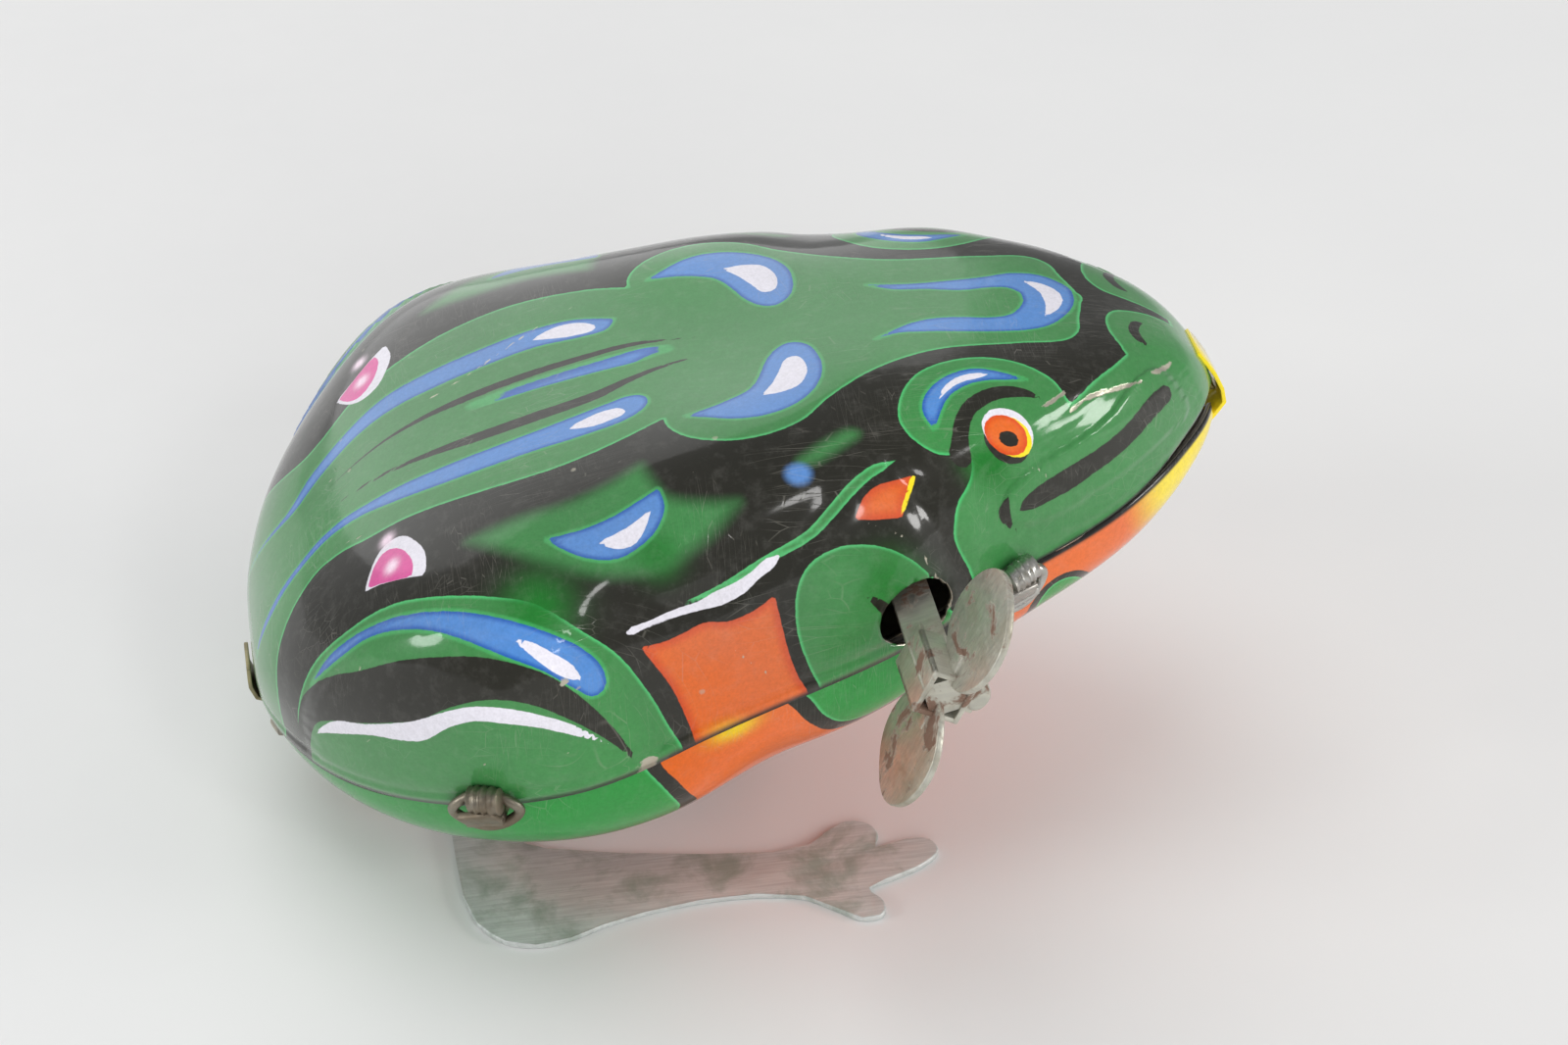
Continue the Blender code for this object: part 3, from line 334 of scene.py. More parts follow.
# Artwork of the upper shell: along the body, and out from the middle line over the surface
SHAPES = {
    "back": [
        (-2, -3), (-2, 12.5), (1.5, 12.5), (2.2, 10.8), (3.2, 9.2), (4.6, 8.1), (6.2, 7.2),
        (7.8, 6.7), (9.6, 7.0), (12, 8.1), (15, 8.9), (20.6, 10.1), (25.9, 10.6), (30.3, 9.9),
        (33.4, 8.7, 1), (33.5, 9.8), (34.8, 11.6), (38, 12.9), (42, 12.2), (44.4, 10.3),
        (48, 8.1), (52, 6.7), (58, 6.5), (61.3, 6.3), (62.3, 5.2), (62.7, 3.4), (63.3, 1),
        (63.8, -3),
    ],
    "haunch": [
        (3.6, 13.6), (4.5, 13.2), (6.2, 13.1), (8.5, 13.6), (12, 14.8), (16.2, 17.1), (19, 18.7),
        (22, 20.6), (24.3, 23.2), (26.2, 25.7), (27.2, 28.6), (27.7, 31), (27.8, 37), (12, 42),
        (0, 24), (2, 18), (2.9, 15),
    ],
    "haunch shade": [
        (5.3, 13.9), (7, 15), (9.5, 17), (12.2, 18.8), (15.1, 20.7), (17.5, 22.1), (20.1, 24),
        (21.8, 25.6), (23.4, 28.2), (24.6, 31.2), (25.4, 34.6, 1), (23.9, 31.7), (21.9, 28.9),
        (19.8, 26.7), (17.2, 25), (14.7, 24), (12.4, 23.2), (10.4, 21.6), (7.2, 18.5),
        (5.8, 16.9), (4.6, 16), (3.9, 16.3), (3.2, 17.4, 1), (2.5, 15.4), (3.3, 14), (4.3, 13.5),
    ],
    "haunch blue": [
        (5.4, 13.9, 1), (7.2, 13.9), (9.4, 14.5), (11.7, 15.6), (14, 16.9), (18.3, 19.6),
        (22.8, 23.1), (24.3, 24.7), (25, 26.2), (24.8, 27.6), (24, 28), (23, 27), (21.5, 25.1),
        (19.6, 23.3), (15.4, 19.2), (13, 17.3), (10.5, 15.7), (8, 14.8),
    ],
    "haunch glint": [
        (20, 22.1, 1), (21.1, 22.8), (22.3, 24.1), (23.3, 25.4), (23.6, 26.7, 1), (22.5, 25.9),
        (21.3, 24.3),
    ],
    "haunch wave": [
        (4.5, 16.4, 1), (6.2, 17.4), (8.4, 19.8), (10.8, 22), (12.3, 23.1), (14, 23.9),
        (16, 24.8), (18.5, 26.4), (20.4, 27.9), (22, 29.4), (24, 32, 1), (21.7, 30.1), (20, 28.7),
        (18, 27.3), (16, 25.9), (14.3, 25.2), (12.3, 24.7), (10.8, 23.4), (8.8, 21.1),
        (6.5, 18.7), (5.2, 17.2),
    ],
    "lens": [
        (18.8, 14.1, 1), (22.4, 14), (25.8, 14.3), (28.6, 13.9), (31.1, 13, 1), (31.5, 14.6),
        (32.2, 16.2), (36.6, 17.6, 1), (33.8, 19.6), (31.2, 20.6), (28.6, 20.8), (26.2, 20.1),
        (23.6, 18.3), (21.2, 16.3),
    ],
    "leaf": [
        (23.8, 16.5, 1), (26.5, 16.8), (28.8, 16.5), (31.8, 15.4, 1), (31.9, 16.8), (31, 18.3),
        (29.6, 19.2), (28, 19.6), (26.2, 19), (24.8, 17.8),
    ],
    "leaf glint": [
        (27, 18.1, 1), (29.1, 17.7), (31, 16.8, 1), (30.2, 18.2), (29.2, 19), (28, 18.9),
    ],
    "foreleg": [
        (38.6, 33.5), (38.2, 31.5), (37.9, 29.5), (37.8, 27.5), (38, 25.6), (38.7, 23.5),
        (39.9, 22.1), (41.8, 21.4), (43.8, 21.5), (45.6, 22.2), (47, 23.5), (47.9, 25.3),
        (48.3, 27.5), (48.2, 31), (47, 36), (40, 38),
    ],
    "claw": [(42.8, 24.8, 1), (43.8, 25.3), (44.4, 26.3, 1), (43.9, 26.9), (43.3, 25.9)],
    "neck patch": [
        (43.6, 19.9, 1), (44.5, 18.7), (45.8, 17.9), (48.3, 17.4, 1), (47.4, 18.7),
        (46.7, 20.1, 1), (45.2, 20.1),
    ],
    "neck patch edge": [
        (48, 17.4, 1), (48.4, 17.4, 1), (47.5, 18.9), (46.8, 19.9, 1), (46.5, 19.9, 1),
        (47.3, 18.7),
    ],
    "side panel": [
        (27.7, 25.6, 1), (29, 25.7), (30.6, 25.4), (32.2, 24.9), (33.6, 25.1), (35.3, 24.7),
        (37.1, 23.8, 1), (37, 25.6), (36.9, 28), (37, 30), (37.4, 32), (38, 37), (29.2, 42),
        (29.2, 34), (29.1, 31.5), (28.8, 29), (28.2, 27),
    ],
    "head": [
        (50.1, 24), (49.8, 22.8), (49.7, 21.7), (50, 20.6), (50.6, 19.3), (51.5, 18.3),
        (52, 17.5), (52.2, 16.7), (51.2, 16.3, 1), (50.3, 16.2), (49.4, 15.6), (48.7, 14.6),
        (48.4, 13.3), (48.7, 12), (49.4, 10.6), (50.6, 9.2), (52.4, 8.3), (54.8, 8), (57, 8.6),
        (58.6, 9.8), (59.5, 11), (59.9, 12.5, 1), (61, 11.5), (62.4, 10.1), (63.8, 8.8),
        (65, 7.4, 1), (64.6, 6), (64.4, 4.6), (64.6, 2.8), (65.3, 1.6), (66.9, 0.9),
        (69.2, 0.4, 1), (69.5, -3), (75, -3), (75, 32), (50.6, 32),
    ],
    "brow": [
        (50.9, 16.5), (51.4, 15.2), (52.1, 13.6), (53.2, 12.3), (54.5, 11.5), (55.7, 11.2),
        (56.8, 11.3), (57.6, 11.7), (58.3, 12.4, 1), (57.4, 12.2), (56.3, 12.2), (55.2, 12.4),
        (54.2, 12.9), (53.3, 13.6), (52.7, 14.7), (52.4, 15.6), (52.3, 16.8, 1), (51.6, 17.2),
    ],
    "brow blue": [
        (50.5, 14.4, 1), (50.1, 13.2), (50.3, 12.1), (51, 11), (52, 10.1), (53.2, 9.5),
        (54.5, 9.3), (55.8, 9.7), (57.5, 10.6, 1), (56.2, 10.6), (54.8, 10.6), (53.4, 11),
        (52.1, 11.9), (51.2, 13.2),
    ],
    "brow glint": [
        (51.4, 12.1, 1), (51.8, 11.2), (52.6, 10.4), (53.5, 9.9), (54.5, 9.8), (55.3, 9.9, 1),
        (54.6, 10.3), (53.6, 10.5), (52.6, 11), (51.9, 11.6),
    ],
    "mouth": [
        (54.5, 20.1, 1), (54.9, 19.4), (55.8, 18.6), (57.2, 17.7), (59, 16.6), (61, 15.3),
        (62.8, 13.8), (64.2, 12.3), (65.4, 10.8), (66.5, 9.5), (67.1, 8.9), (67.4, 9.1), (67, 10),
        (65.8, 11.6), (64, 13.8), (62.1, 15.7), (60.3, 17.1), (58.6, 18.3), (56.8, 19.3),
        (55.3, 20),
    ],
    "mouth corner": [
        (54.1, 19, 1), (53.6, 19.4), (53.1, 20.2), (53.2, 20.9), (54.2, 21.8, 1), (53.9, 21),
        (53.9, 20),
    ],
    "nostril": [
        (67.1, 2.6, 1), (66.5, 2.6), (66, 3.5), (65.8, 4.6), (66.1, 5.6), (66.9, 6.1, 1),
        (66.6, 5.2), (66.5, 4.2), (66.8, 3.2),
    ],
    "neck streak": [
        (41, 15.7), (42.2, 14.8), (43.6, 14.1), (45.1, 13.6), (45.6, 14), (44.6, 14.8),
        (43.2, 15.5), (42, 15.9),
    ],
    "droplet": [
        (34.8, 9, 1), (36.1, 8.8), (37.8, 8.3), (39.5, 7.4), (40.3, 6.1), (41.1, 4.2), (42, 3),
        (43, 2.6), (44.1, 3.4), (44.6, 5), (44.6, 6.9), (43.9, 8.7), (42.6, 10), (41, 10.7),
        (39.4, 10.9), (37.8, 10.6), (36.2, 9.8),
    ],
    "droplet glint": [
        (40.1, 8.5, 1), (41.1, 7.2), (41.9, 5.6), (42.4, 4.6), (43.1, 4.5), (43.6, 5.6),
        (43.5, 7), (42.8, 8.2), (41.5, 8.6),
    ],
    "spot rim": [
        (11, 12.4, 1), (11.6, 11.4), (12.4, 10.4), (13.3, 10), (14.4, 10.3), (15.3, 11.6),
        (15.8, 13.2), (15.5, 14.9, 1), (14.6, 14.4), (13.3, 13.6), (12.1, 12.9),
    ],
    "spot": [
        (11.3, 12.4, 1), (12, 11.2), (12.9, 10.6), (13.9, 11.1), (14.6, 12.3), (14.8, 13.6),
        (14.5, 14.3, 1), (13.3, 13.6), (12.2, 12.9),
    ],
    # drawn once, right side positive
    "right stripe": [
        (1.5, 5), (3.7, 4.6), (6.4, 4.1), (8.5, 3.7), (10.3, 3.9), (12.9, 4.7), (15.7, 5.3),
        (18.5, 5.7), (24.8, 5.9), (30.2, 5.2), (31.4, 4.9), (32.3, 5.1), (32.7, 5.8), (32.4, 6.7),
        (31, 7.7), (28, 8.1), (24.5, 8), (21, 7.8), (17.3, 7.3), (14.3, 6.4), (11.2, 5), (9, 4.4),
        (5.7, 4.8), (3, 5.3),
    ],
    "left stripe": [
        (1.5, -4), (5.7, -2.6), (8.2, -4), (11.7, -5.2), (14.9, -5.9), (18.4, -6), (22.6, -6.2),
        (26.4, -6.5), (29.1, -6.3), (31.9, -5.2, 1), (31.2, -4.1), (29.6, -3.9), (26.1, -4.2),
        (22.4, -4), (18.6, -3.9), (15.5, -4), (12.2, -3.8), (9, -3), (6.1, -2),
    ],
    "right stripe glint": [
        (26.8, 6.8, 1), (28.3, 6.3), (29.7, 6), (30.9, 6.3), (31, 6.9), (29.9, 7.3), (28.5, 7.4),
    ],
    "left stripe glint": [(25.9, -5.2, 1), (27.8, -6), (29.9, -5.5), (30.5, -4.6), (28.8, -4.3)],
    "neck loop": [
        (48.7, 4.4, 1), (50.3, 3.9), (52.2, 4.1), (54.6, 4.5), (57, 4.8), (59, 4.8), (60.5, 4.3),
        (61.7, 3.1), (62.6, 1.6), (63, 0), (63, -1.2), (62.3, -2.4), (61.2, -3.3), (59.3, -3.6),
        (57.6, -3.2), (55.1, -2.9), (52.6, -2.8), (49.4, -3.3, 1), (51, -2.3), (53.3, -1.9),
        (55.7, -1.4), (57.7, -1.6), (58.9, -1.4), (59.5, -0.4), (59.5, 0.4), (59.1, 1.5),
        (58.1, 2.6), (56.8, 2.8), (54.9, 2.5), (53, 2.4), (51.3, 2.8), (50.1, 3.5),
    ],
    "neck loop glint": [
        (60.9, 0.3), (60.8, 1.7), (60.4, 3.1, 1), (61.4, 2.2), (62, 1.1), (62.2, 0), (61.9, -1.1),
        (61.2, -1.9), (59.9, -2.5, 1), (60.7, -1),
    ],
}
EYE = (55.05, 14.95)
STROKES = {
    "wave white": [
        (27.4, 24.4, 0.28), (28.8, 24.2, 0.2), (30.5, 23.9, 0.25), (32.2, 23.7, 0.3),
        (33.5, 23.4, 0.5), (35.1, 22.9, 0.45), (36.4, 22.2, 0.3), (37.3, 21.7, 0.4),
        (38.1, 21.3, 0.1),
    ],
    "wave green": [
        (28.5, 24.0, 0.05), (33, 23.0, 0.2), (37, 21.5, 0.25), (40.6, 20.2, 0.3),
        (42.3, 19.1, 0.35), (44.4, 17.7, 0.35), (46.1, 16.7, 0.3), (47.6, 16.2, 0.0),
    ],
    "right slit": [
        (8.7, 1.3, 0), (12, 2.2, 0.12), (15.9, 3.2, 0.22), (20.5, 4, 0.5), (25, 4.2, 0.56),
        (29.5, 3.8, 0.5), (31.7, 2.9, 0.32), (34.1, 2, 0.2), (37.9, 1.3, 0),
    ],
    "left slit": [
        (8.7, -0.6, 0), (14, -0.7, 0.18), (20, -0.8, 0.5), (25, -0.9, 0.56), (29, -1.1, 0.48),
        (33.5, -1.5, 0.22), (38.1, -0.3, 0),
    ],
    "middle stripe": [
        (20.6, 0.1, 0), (24, 0.25, 0.26), (28, 0.3, 0.38), (32, 0.1, 0.42), (33.6, -0.2, 0.3),
        (35.2, -0.1, 0),
    ],
    "neck scratch": [
        (43.8, 20.0, 0.06), (45.4, 20.7, 0.09), (46.8, 21.7, 0.1), (47.5, 23.3, 0.1),
        (47.9, 24.8, 0.12),
    ],
    "back scratch": [(17, -2.6, 0.06), (21, -3.6, 0.09), (26.5, -6.6, 0.08), (30, -8.4, 0.04)],
    "rump scratch": [(9.6, -1.4, 0.12), (10.8, -1.9, 0.05)],
    "rump scratch low": [(9, 5.8, 0.03), (11, 7, 0.09), (12.3, 7.6, 0.04)],
    "snout scratch": [(57.6, 13.1, 0.06), (58.8, 12.4, 0.15), (59.8, 11.6, 0.14)],
    "snout scratch long": [
        (59.8, 13, 0.1), (61, 12, 0.16), (63.6, 10.6, 0.18), (65.4, 9.6, 0.08),
    ],
    "nose scratch": [(66.4, 8.6, 0.16), (67.6, 7.2, 0.14), (68.2, 6.3, 0.06)],
    "cheek scratch": [(56.3, 17.0, 0.12), (56.9, 17.6, 0.14)],
    "panel scratch": [(33.2, 26.8, 0.05), (34.4, 28.6, 0.1), (35.6, 30.0, 0.1)],
}


# Chips in the paint: along, out, size
CHIPS = [
    (25.9, 34.5, 0.5), (25.2, 34.9, 0.3), (22.4, 26.2, 0.3), (23.2, 26.9, 0.22),
    (8.3, 21.2, 0.16), (9.5, 16.8, 0.14), (30.4, 11.6, 0.12), (34.2, 14.8, 0.13),
    (17.6, 12.4, 0.1), (47.2, 10.9, 0.12), (19.5, 30.2, 0.12), (17.3, 31.6, 0.13),
    (21.1, 31.4, 0.1), (15.6, 29.3, 0.1), (53.2, 18.9, 0.1), (58.2, 20.6, 0.11),
    (29.0, -4.9, 0.12), (41.2, 3.1, 0.12), (36.0, 4.4, 0.08), (12.4, 9.9, 0.1),
    (27.7, -11.3, 0.1), (60.4, 15.9, 0.1), (44.2, -9.6, 0.1),
]


def top_inks(x, right):
    """One signed distance for each ink, the largest over that ink's shapes."""
    reach = np.abs(right)

    def both(name, soft=1.0):
        return signed_gap(x, reach, outline(SHAPES[name])) / soft

    def once(name):
        return signed_gap(x, right, outline(SHAPES[name]))

    def disc(dx, dy, radius, squeeze=1.0):
        return radius - np.hypot(x - EYE[0] - dx, (reach - EYE[1] - dy) / squeeze)

    def blot(along, out, size):
        return gauss(np.hypot(x - along, reach - out), size)

    def stroke(name, out=None):
        return stroke_gap(x, reach if out is None else out, STROKES[name])

    far_spot = np.where(right < 0, reach + 2.6, -9.0)
    near_spot = np.where(right > 0, right, -9.0)
    spots = {}
    for name in ("spot rim", "spot"):
        line = outline(SHAPES[name])
        spots[name] = np.maximum(signed_gap(x, near_spot, line), signed_gap(x, far_spot, line))
    most = np.maximum.reduce
    white = most([
        both("haunch glint"), both("haunch wave"), both("leaf glint"), both("brow glint"),
        both("droplet glint"), spots["spot rim"], once("right stripe glint"),
        once("left stripe glint"), once("neck loop glint"), stroke("wave white"),
        disc(0.15, -0.25, 1.62),
    ])
    return {
        "green": most([
            both("back"), both("haunch"), both("foreleg"), both("head"), stroke("wave green"),
        ]),
        "mist": most([0.5 + 0.6 * both("lens"), 0.45 + 0.8 * both("neck streak")]),
        "orange": most([both("side panel"), both("neck patch")]),
        "blue": most([
            both("haunch blue"), both("leaf"), both("brow blue"), both("droplet"),
            once("right stripe"), once("left stripe"), once("neck loop"),
            stroke("middle stripe", right),
        ]),
        "blue mist": 0.5 + 1.3 * (0.85 - np.hypot(x - 40.9, (reach - 16.4) * 1.15)),
        "black": most([
            both("haunch shade"), both("claw"), both("brow"), both("mouth"), both("mouth corner"),
            both("nostril"), stroke("right slit", right), stroke("left slit", right),
            disc(-0.15, 0.5, 1.42),
        ]),
        "white": white,
        "pink": spots["spot"],
        "yellow": most([disc(0.22, 0.12, 1.36), both("neck patch edge")]),
        "iris": disc(-0.05, 0.02, 1.36),
        "pupil": disc(0.05, 0.3, 0.66, 0.78),
        "glow": np.maximum(blot(13.3, 12.3, 0.6), blot(13.3, 12.3 - 2.6, 0.6)),
        "sun": 0.75 * gauss(np.hypot((x - 31.9) / 1.9, (reach - 34.2) / 1.3), 1.0),
        "shade": most([
            blot(53.4, 17.0, 1.8), 0.8 * blot(22, 21.0, 3.0),
            0.7 * blot(45.0, 24.5, 2.6), 0.8 * blot(30.5, 20.0, 1.8),
        ]),
        "scratch": most(
            [stroke(name, right) for name in STROKES if "scratch" in name]
            + [size - np.hypot((x - along) / 1.3, right - out) for along, out, size in CHIPS]
        ),
    }


LOWER_SHAPES = {
    "haunch band": [
        (26.3, -1), (26.6, 1.3), (27.2, 3.6), (27.7, 6), (28, 8.2), (26.8, 12), (21, 14.6),
        (12, 15.4), (-3, 15.4), (-3, -2), (20, -2),
    ],
    "haunch": [
        (25.2, -1), (25.5, 0.7), (26, 2.7), (26.5, 5), (26.8, 7.6), (25.5, 11), (20, 13.3),
        (12, 14), (-3, 14), (-3, -2), (20, -2),
    ],
    "foreleg band": [
        (35.9, -1), (36.3, 2.2), (37, 4.6), (38.2, 7), (40.5, 8.3), (44, 7.8), (46.6, 5.5),
        (47.6, 2), (47.8, -1),
    ],
    "foreleg": [
        (37.1, -1), (37.5, 1.8), (38, 4), (39.2, 6.2), (41, 7.1), (43.8, 6.6), (45.8, 4.8),
        (46.6, 2), (46.8, -1),
    ],
    "foot band": [
        (52.9, 9), (53.4, 5.6), (54.6, 3.2), (56, 2.5), (57.5, 3.1), (58.4, 4.9), (58.8, 9),
    ],
    "foot": [(53.6, 9), (54.1, 5.9), (55, 3.8), (56, 3.2), (57.1, 3.7), (57.8, 5.2), (58.1, 9)],
}


def bottom_inks(x, down):
    def gap(name):
        return signed_gap(x, down, outline(LOWER_SHAPES[name]))

    return {
        "black": np.maximum.reduce([gap("haunch band"), gap("foreleg band"), gap("foot band")]),
        "green": np.maximum.reduce([gap("haunch"), gap("foreleg"), gap("foot")]),
        "sun": 0.75 * gauss(np.hypot((x - 31.9) / 2.0, (down - 0.9) / 1.3), 1.0),
        "lip": np.clip((x - 61.5) / 4.0, 0, 1) * np.clip(1.6 - down / 5, 0, 1),
        # painted shade: darkens the belly within about 0.4 mm of its top edge, for the shadow in
        # the seam gap
        "painted_seam_shade": np.clip(1.15 - down / 0.34, 0, 1),
    }


# ------------------------------------------------------------ building pieces
def piece(bm, name, materials, smooth_angle=40):
    mesh = bpy.data.meshes.new(name)
    bm.to_mesh(mesh)
    bm.free()
    obj = bpy.data.objects.new(name, mesh)
    bpy.context.scene.collection.objects.link(obj)
    for material in materials:
        mesh.materials.append(material)
    mesh.shade_smooth()
    if smooth_angle:
        mesh.set_sharp_from_angle(angle=math.radians(smooth_angle))
    return obj


def write_inks(obj, inks):
    for ink, values in inks.items():
        layer = obj.data.attributes.new(ink, "FLOAT", "POINT")
        layer.data.foreach_set("value", np.asarray(values, np.float32))


def ride_as(obj, body, slot, *nodes):
    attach(obj, body)
    if nodes:
        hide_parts(*nodes)
    return obj


def clip_matrix(place, side):
    x = CLIP_X[place]
    slope = (half_width(x + 0.5) - half_width(x - 0.5)) / 1.0
    lean = math.atan(slope)
    turn = lean if side > 0 else math.pi - lean
    return Matrix.Translation((x, side * float(half_width(x)), 0)) @ Matrix.Rotation(turn, 4, "Z")


def cut_slots(bm, low, high):
    for place in CLIP_X:
        for side in (-1, 1):
            inverse = clip_matrix(place, side).inverted()
            inside = []
            for face in bm.faces:
                spot = inverse @ face.calc_center_median()
                if abs(spot.x) < 1.6 and -2.5 < spot.y < 4 and low < spot.z < high:
                    inside.append(face)
            bmesh.ops.delete(bm, geom=inside, context="FACES")


def top_shell(materials):
    rows, columns = 230, 190
    bm = half_ball(rows, columns, 1)
    x, right, girth = pressed_top(bm, rows)
    place = bm.verts.layers.float_vector.new("print place")
    for vert, a, b, c in zip(bm.verts, x, right, girth):
        vert[place] = (a, b, c)
    axis = Vector((KEY_X, 0, KEY_Z))
    hole = []
    for face in bm.faces:
        spot = face.calc_center_median()
        if spot.y < 0 and math.hypot(spot.x - axis.x, spot.z - axis.z) < KEY_HOLE:
            hole.append(face)
    bmesh.ops.delete(bm, geom=hole, context="FACES")
    for edge in [e for e in bm.edges if e.is_boundary]:
        for vert in edge.verts:
            dx, dz = vert.co.x - axis.x, vert.co.z - axis.z
            gap = math.hypot(dx, dz)
            if vert.co.y < 0 and 0.3 < vert.co.z and gap < KEY_HOLE + 0.7:
                vert.co.x, vert.co.z = axis.x + dx / gap * KEY_HOLE, axis.z + dz / gap * KEY_HOLE
    cut_slots(bm, -1, 0.6)
    bmesh.ops.recalc_face_normals(bm, faces=bm.faces)
    if sum(face.normal.z for face in bm.faces) < 0:
        bmesh.ops.reverse_faces(bm, faces=bm.faces)
    spots = np.array([vert[place] for vert in bm.verts])
    bmesh.ops.transform(bm, matrix=BODY, verts=bm.verts)
    obj = piece(bm, "top_shell", materials, 0)
    inks = top_inks(spots[:, 0], spots[:, 1])
    rim = spots[:, 2] - mouth_cut(spots[:, 0]) - np.abs(spots[:, 1])
    # painted shade: a dark line within about 0.15 mm of the rim's edge, standing in for the shadow
    # in the seam gap
    inks["painted_seam_shade"] = np.clip(1.15 - rim / 0.13, 0, 1)
    write_inks(obj, inks)
    thicken(obj, TIN)
    return ride_as(obj, "frog_body", "painted_top", "upper_shell")


def thicken(obj, thickness):
    solidify = obj.modifiers.new("sheet", "SOLIDIFY")
    solidify.thickness = thickness / 1000
    solidify.offset = -1
    solidify.material_offset = 1
    solidify.material_offset_rim = 1


def bottom_shell(materials):
    rows, columns = 170, 124
    bm = half_ball(rows, columns, -1)
    x, down, way = pressed_bottom(bm, rows)
    place = bm.verts.layers.float_vector.new("print place")
    for vert, a, b in zip(bm.verts, x, down):
        vert[place] = (a, b, 0)
    low_x, high_x, half_y, top_z = HINGE_X - 4, HINGE_X + 18, 8.5, HINGE_Z - 2.2
    hole = []
    for face in bm.faces:
        spot = face.calc_center_median()
        if low_x < spot.x < high_x and abs(spot.y) < half_y and spot.z < top_z:
            hole.append(face)
    bmesh.ops.delete(bm, geom=hole, context="FACES")
    for vert in {v for e in bm.edges if e.is_boundary for v in e.verts if v.co.z < top_z}:
        gaps = {
            "low": abs(vert.co.x - low_x), "high": abs(vert.co.x - high_x),
            "side": abs(abs(vert.co.y) - half_y),
        }
        nearest = min(gaps, key=gaps.get)
        if nearest == "side":
            vert.co.y = math.copysign(half_y, vert.co.y)
        else:
            vert.co.x = low_x if nearest == "low" else high_x
    rim = [e for e in bm.edges if e.is_boundary and all(v.co.z > -1.0 for v in e.verts)]
    lip = bmesh.ops.extrude_edge_only(bm, edges=rim)["geom"]
    for vert in (v for v in lip if isinstance(v, bmesh.types.BMVert)):
        mouth = min(max((vert.co.x - 50) / 3, 0), 1)
        vert.co.z += 0.8 - 0.45 * mouth
        vert.co.y -= math.copysign(0.1, vert.co.y)
    cut_slots(bm, -0.6, 3)
    bmesh.ops.recalc_face_normals(bm, faces=bm.faces)
    if sum(face.normal.z for face in bm.faces) > 0:
        bmesh.ops.reverse_faces(bm, faces=bm.faces)
    spots = np.array([vert[place] for vert in bm.verts])
    bmesh.ops.transform(bm, matrix=BODY, verts=bm.verts)
    obj = piece(bm, "bottom_shell", materials, 0)
    write_inks(obj, bottom_inks(spots[:, 0], spots[:, 1]))
    thicken(obj, TIN)
    return ride_as(obj, "frog_body", "painted_belly", "lower_shell")


def round_edges(bm, edges, width, segments=2):
    bmesh.ops.bevel(
        bm, geom=edges, offset=width, segments=segments, profile=0.5, affect="EDGES", material=-1
    )


def roll(bm, segments, radius, length):
    """A closed round roll on the Z axis."""
    return bmesh.ops.create_cone(
        bm, cap_ends=True, segments=segments, radius1=radius, radius2=radius, depth=length
    )["verts"]


def sheet_strip(path, half, thick, name, materials):
    """A bent strip: its middle line in the XZ plane, swept across the body."""
    bm = bmesh.new()
    verts = [bm.verts.new((x, -half, z)) for x, z in path]
    edges = [bm.edges.new(pair) for pair in zip(verts[:-1], verts[1:])]
    made = bmesh.ops.extrude_edge_only(bm, edges=edges)["geom"]
    swept = [v for v in made if isinstance(v, bmesh.types.BMVert)]
    bmesh.ops.translate(bm, vec=(0, 2 * half, 0), verts=swept)
    bmesh.ops.recalc_face_normals(bm, faces=bm.faces)
    bmesh.ops.solidify(bm, geom=bm.faces[:], thickness=thick)
    round_edges(bm, bm.edges[:], 0.06)
    bmesh.ops.transform(bm, matrix=BODY, verts=bm.verts)
    return piece(bm, name, materials)


def end_tabs(nose_paint, rear_paint):
    nose = [
        (70.4, -1.6), (71.0, -1.1), (71.75, -0.4), (71.8, 0.8), (71.5, 2.2), (71.05, 3.4),
        (70.6, 4.4),
    ]
    rear = [(0.9, -1.6), (0.3, -1.2), (-0.4, -0.7), (-0.55, 0.4), (-0.4, 1.2), (-0.2, 2.0)]
    for path, name, paint in ((nose, "nose_tab", nose_paint), (rear, "rear_tab", rear_paint)):
        tab = sheet_strip(path, TAB_HALF, TAB_THICK, name, [paint])
        ride_as(tab, "frog_body", "painted_belly")


def bar(bm, low, high, bevel=0.1, matrix=None):
    """A box with soft edges added to the mesh."""
    low, high = Vector(low), Vector(high)
    made = bmesh.ops.create_cube(bm, size=1)["verts"]
    bmesh.ops.scale(bm, vec=high - low, verts=made)
    bmesh.ops.translate(bm, vec=(high + low) / 2, verts=made)
    if matrix is not None:
        bmesh.ops.transform(bm, matrix=matrix, verts=made)
    edges = list({e for v in made for e in v.link_edges})
    if bevel:
        round_edges(bm, edges, bevel)


def key_wing(way, reach):
    """One round wing of the key: a thin dished disc whose edge is rolled a little."""
    bm = bmesh.new()
    bmesh.ops.create_circle(bm, cap_ends=True, segments=64, radius=KEY_WING)
    faces = bm.faces[:]
    for width in (0.12, 0.25, 0.5, 0.7, 0.8):
        bmesh.ops.inset_region(bm, faces=faces, thickness=width)
    for vert in bm.verts:
        level = vert.co.xy.length / KEY_WING
        dish = 0.22 * (1 - min(level / 0.9, 1) ** 2)
        warp = 0.12 * math.sin(0.55 * vert.co.x + 0.5 * vert.co.y)
        vert.co.z = 0.16 * max(0.0, level - 0.93) / 0.07 - dish + warp
    bmesh.ops.solidify(bm, geom=bm.faces[:], thickness=0.5)
    bmesh.ops.recalc_face_normals(bm, faces=bm.faces)
    rims = [e for e in bm.edges if e.calc_face_angle(0) > 0.9]
    round_edges(bm, rims, 0.12)
    bmesh.ops.translate(bm, vec=(way * reach, 0, 0), verts=bm.verts)
    return bm


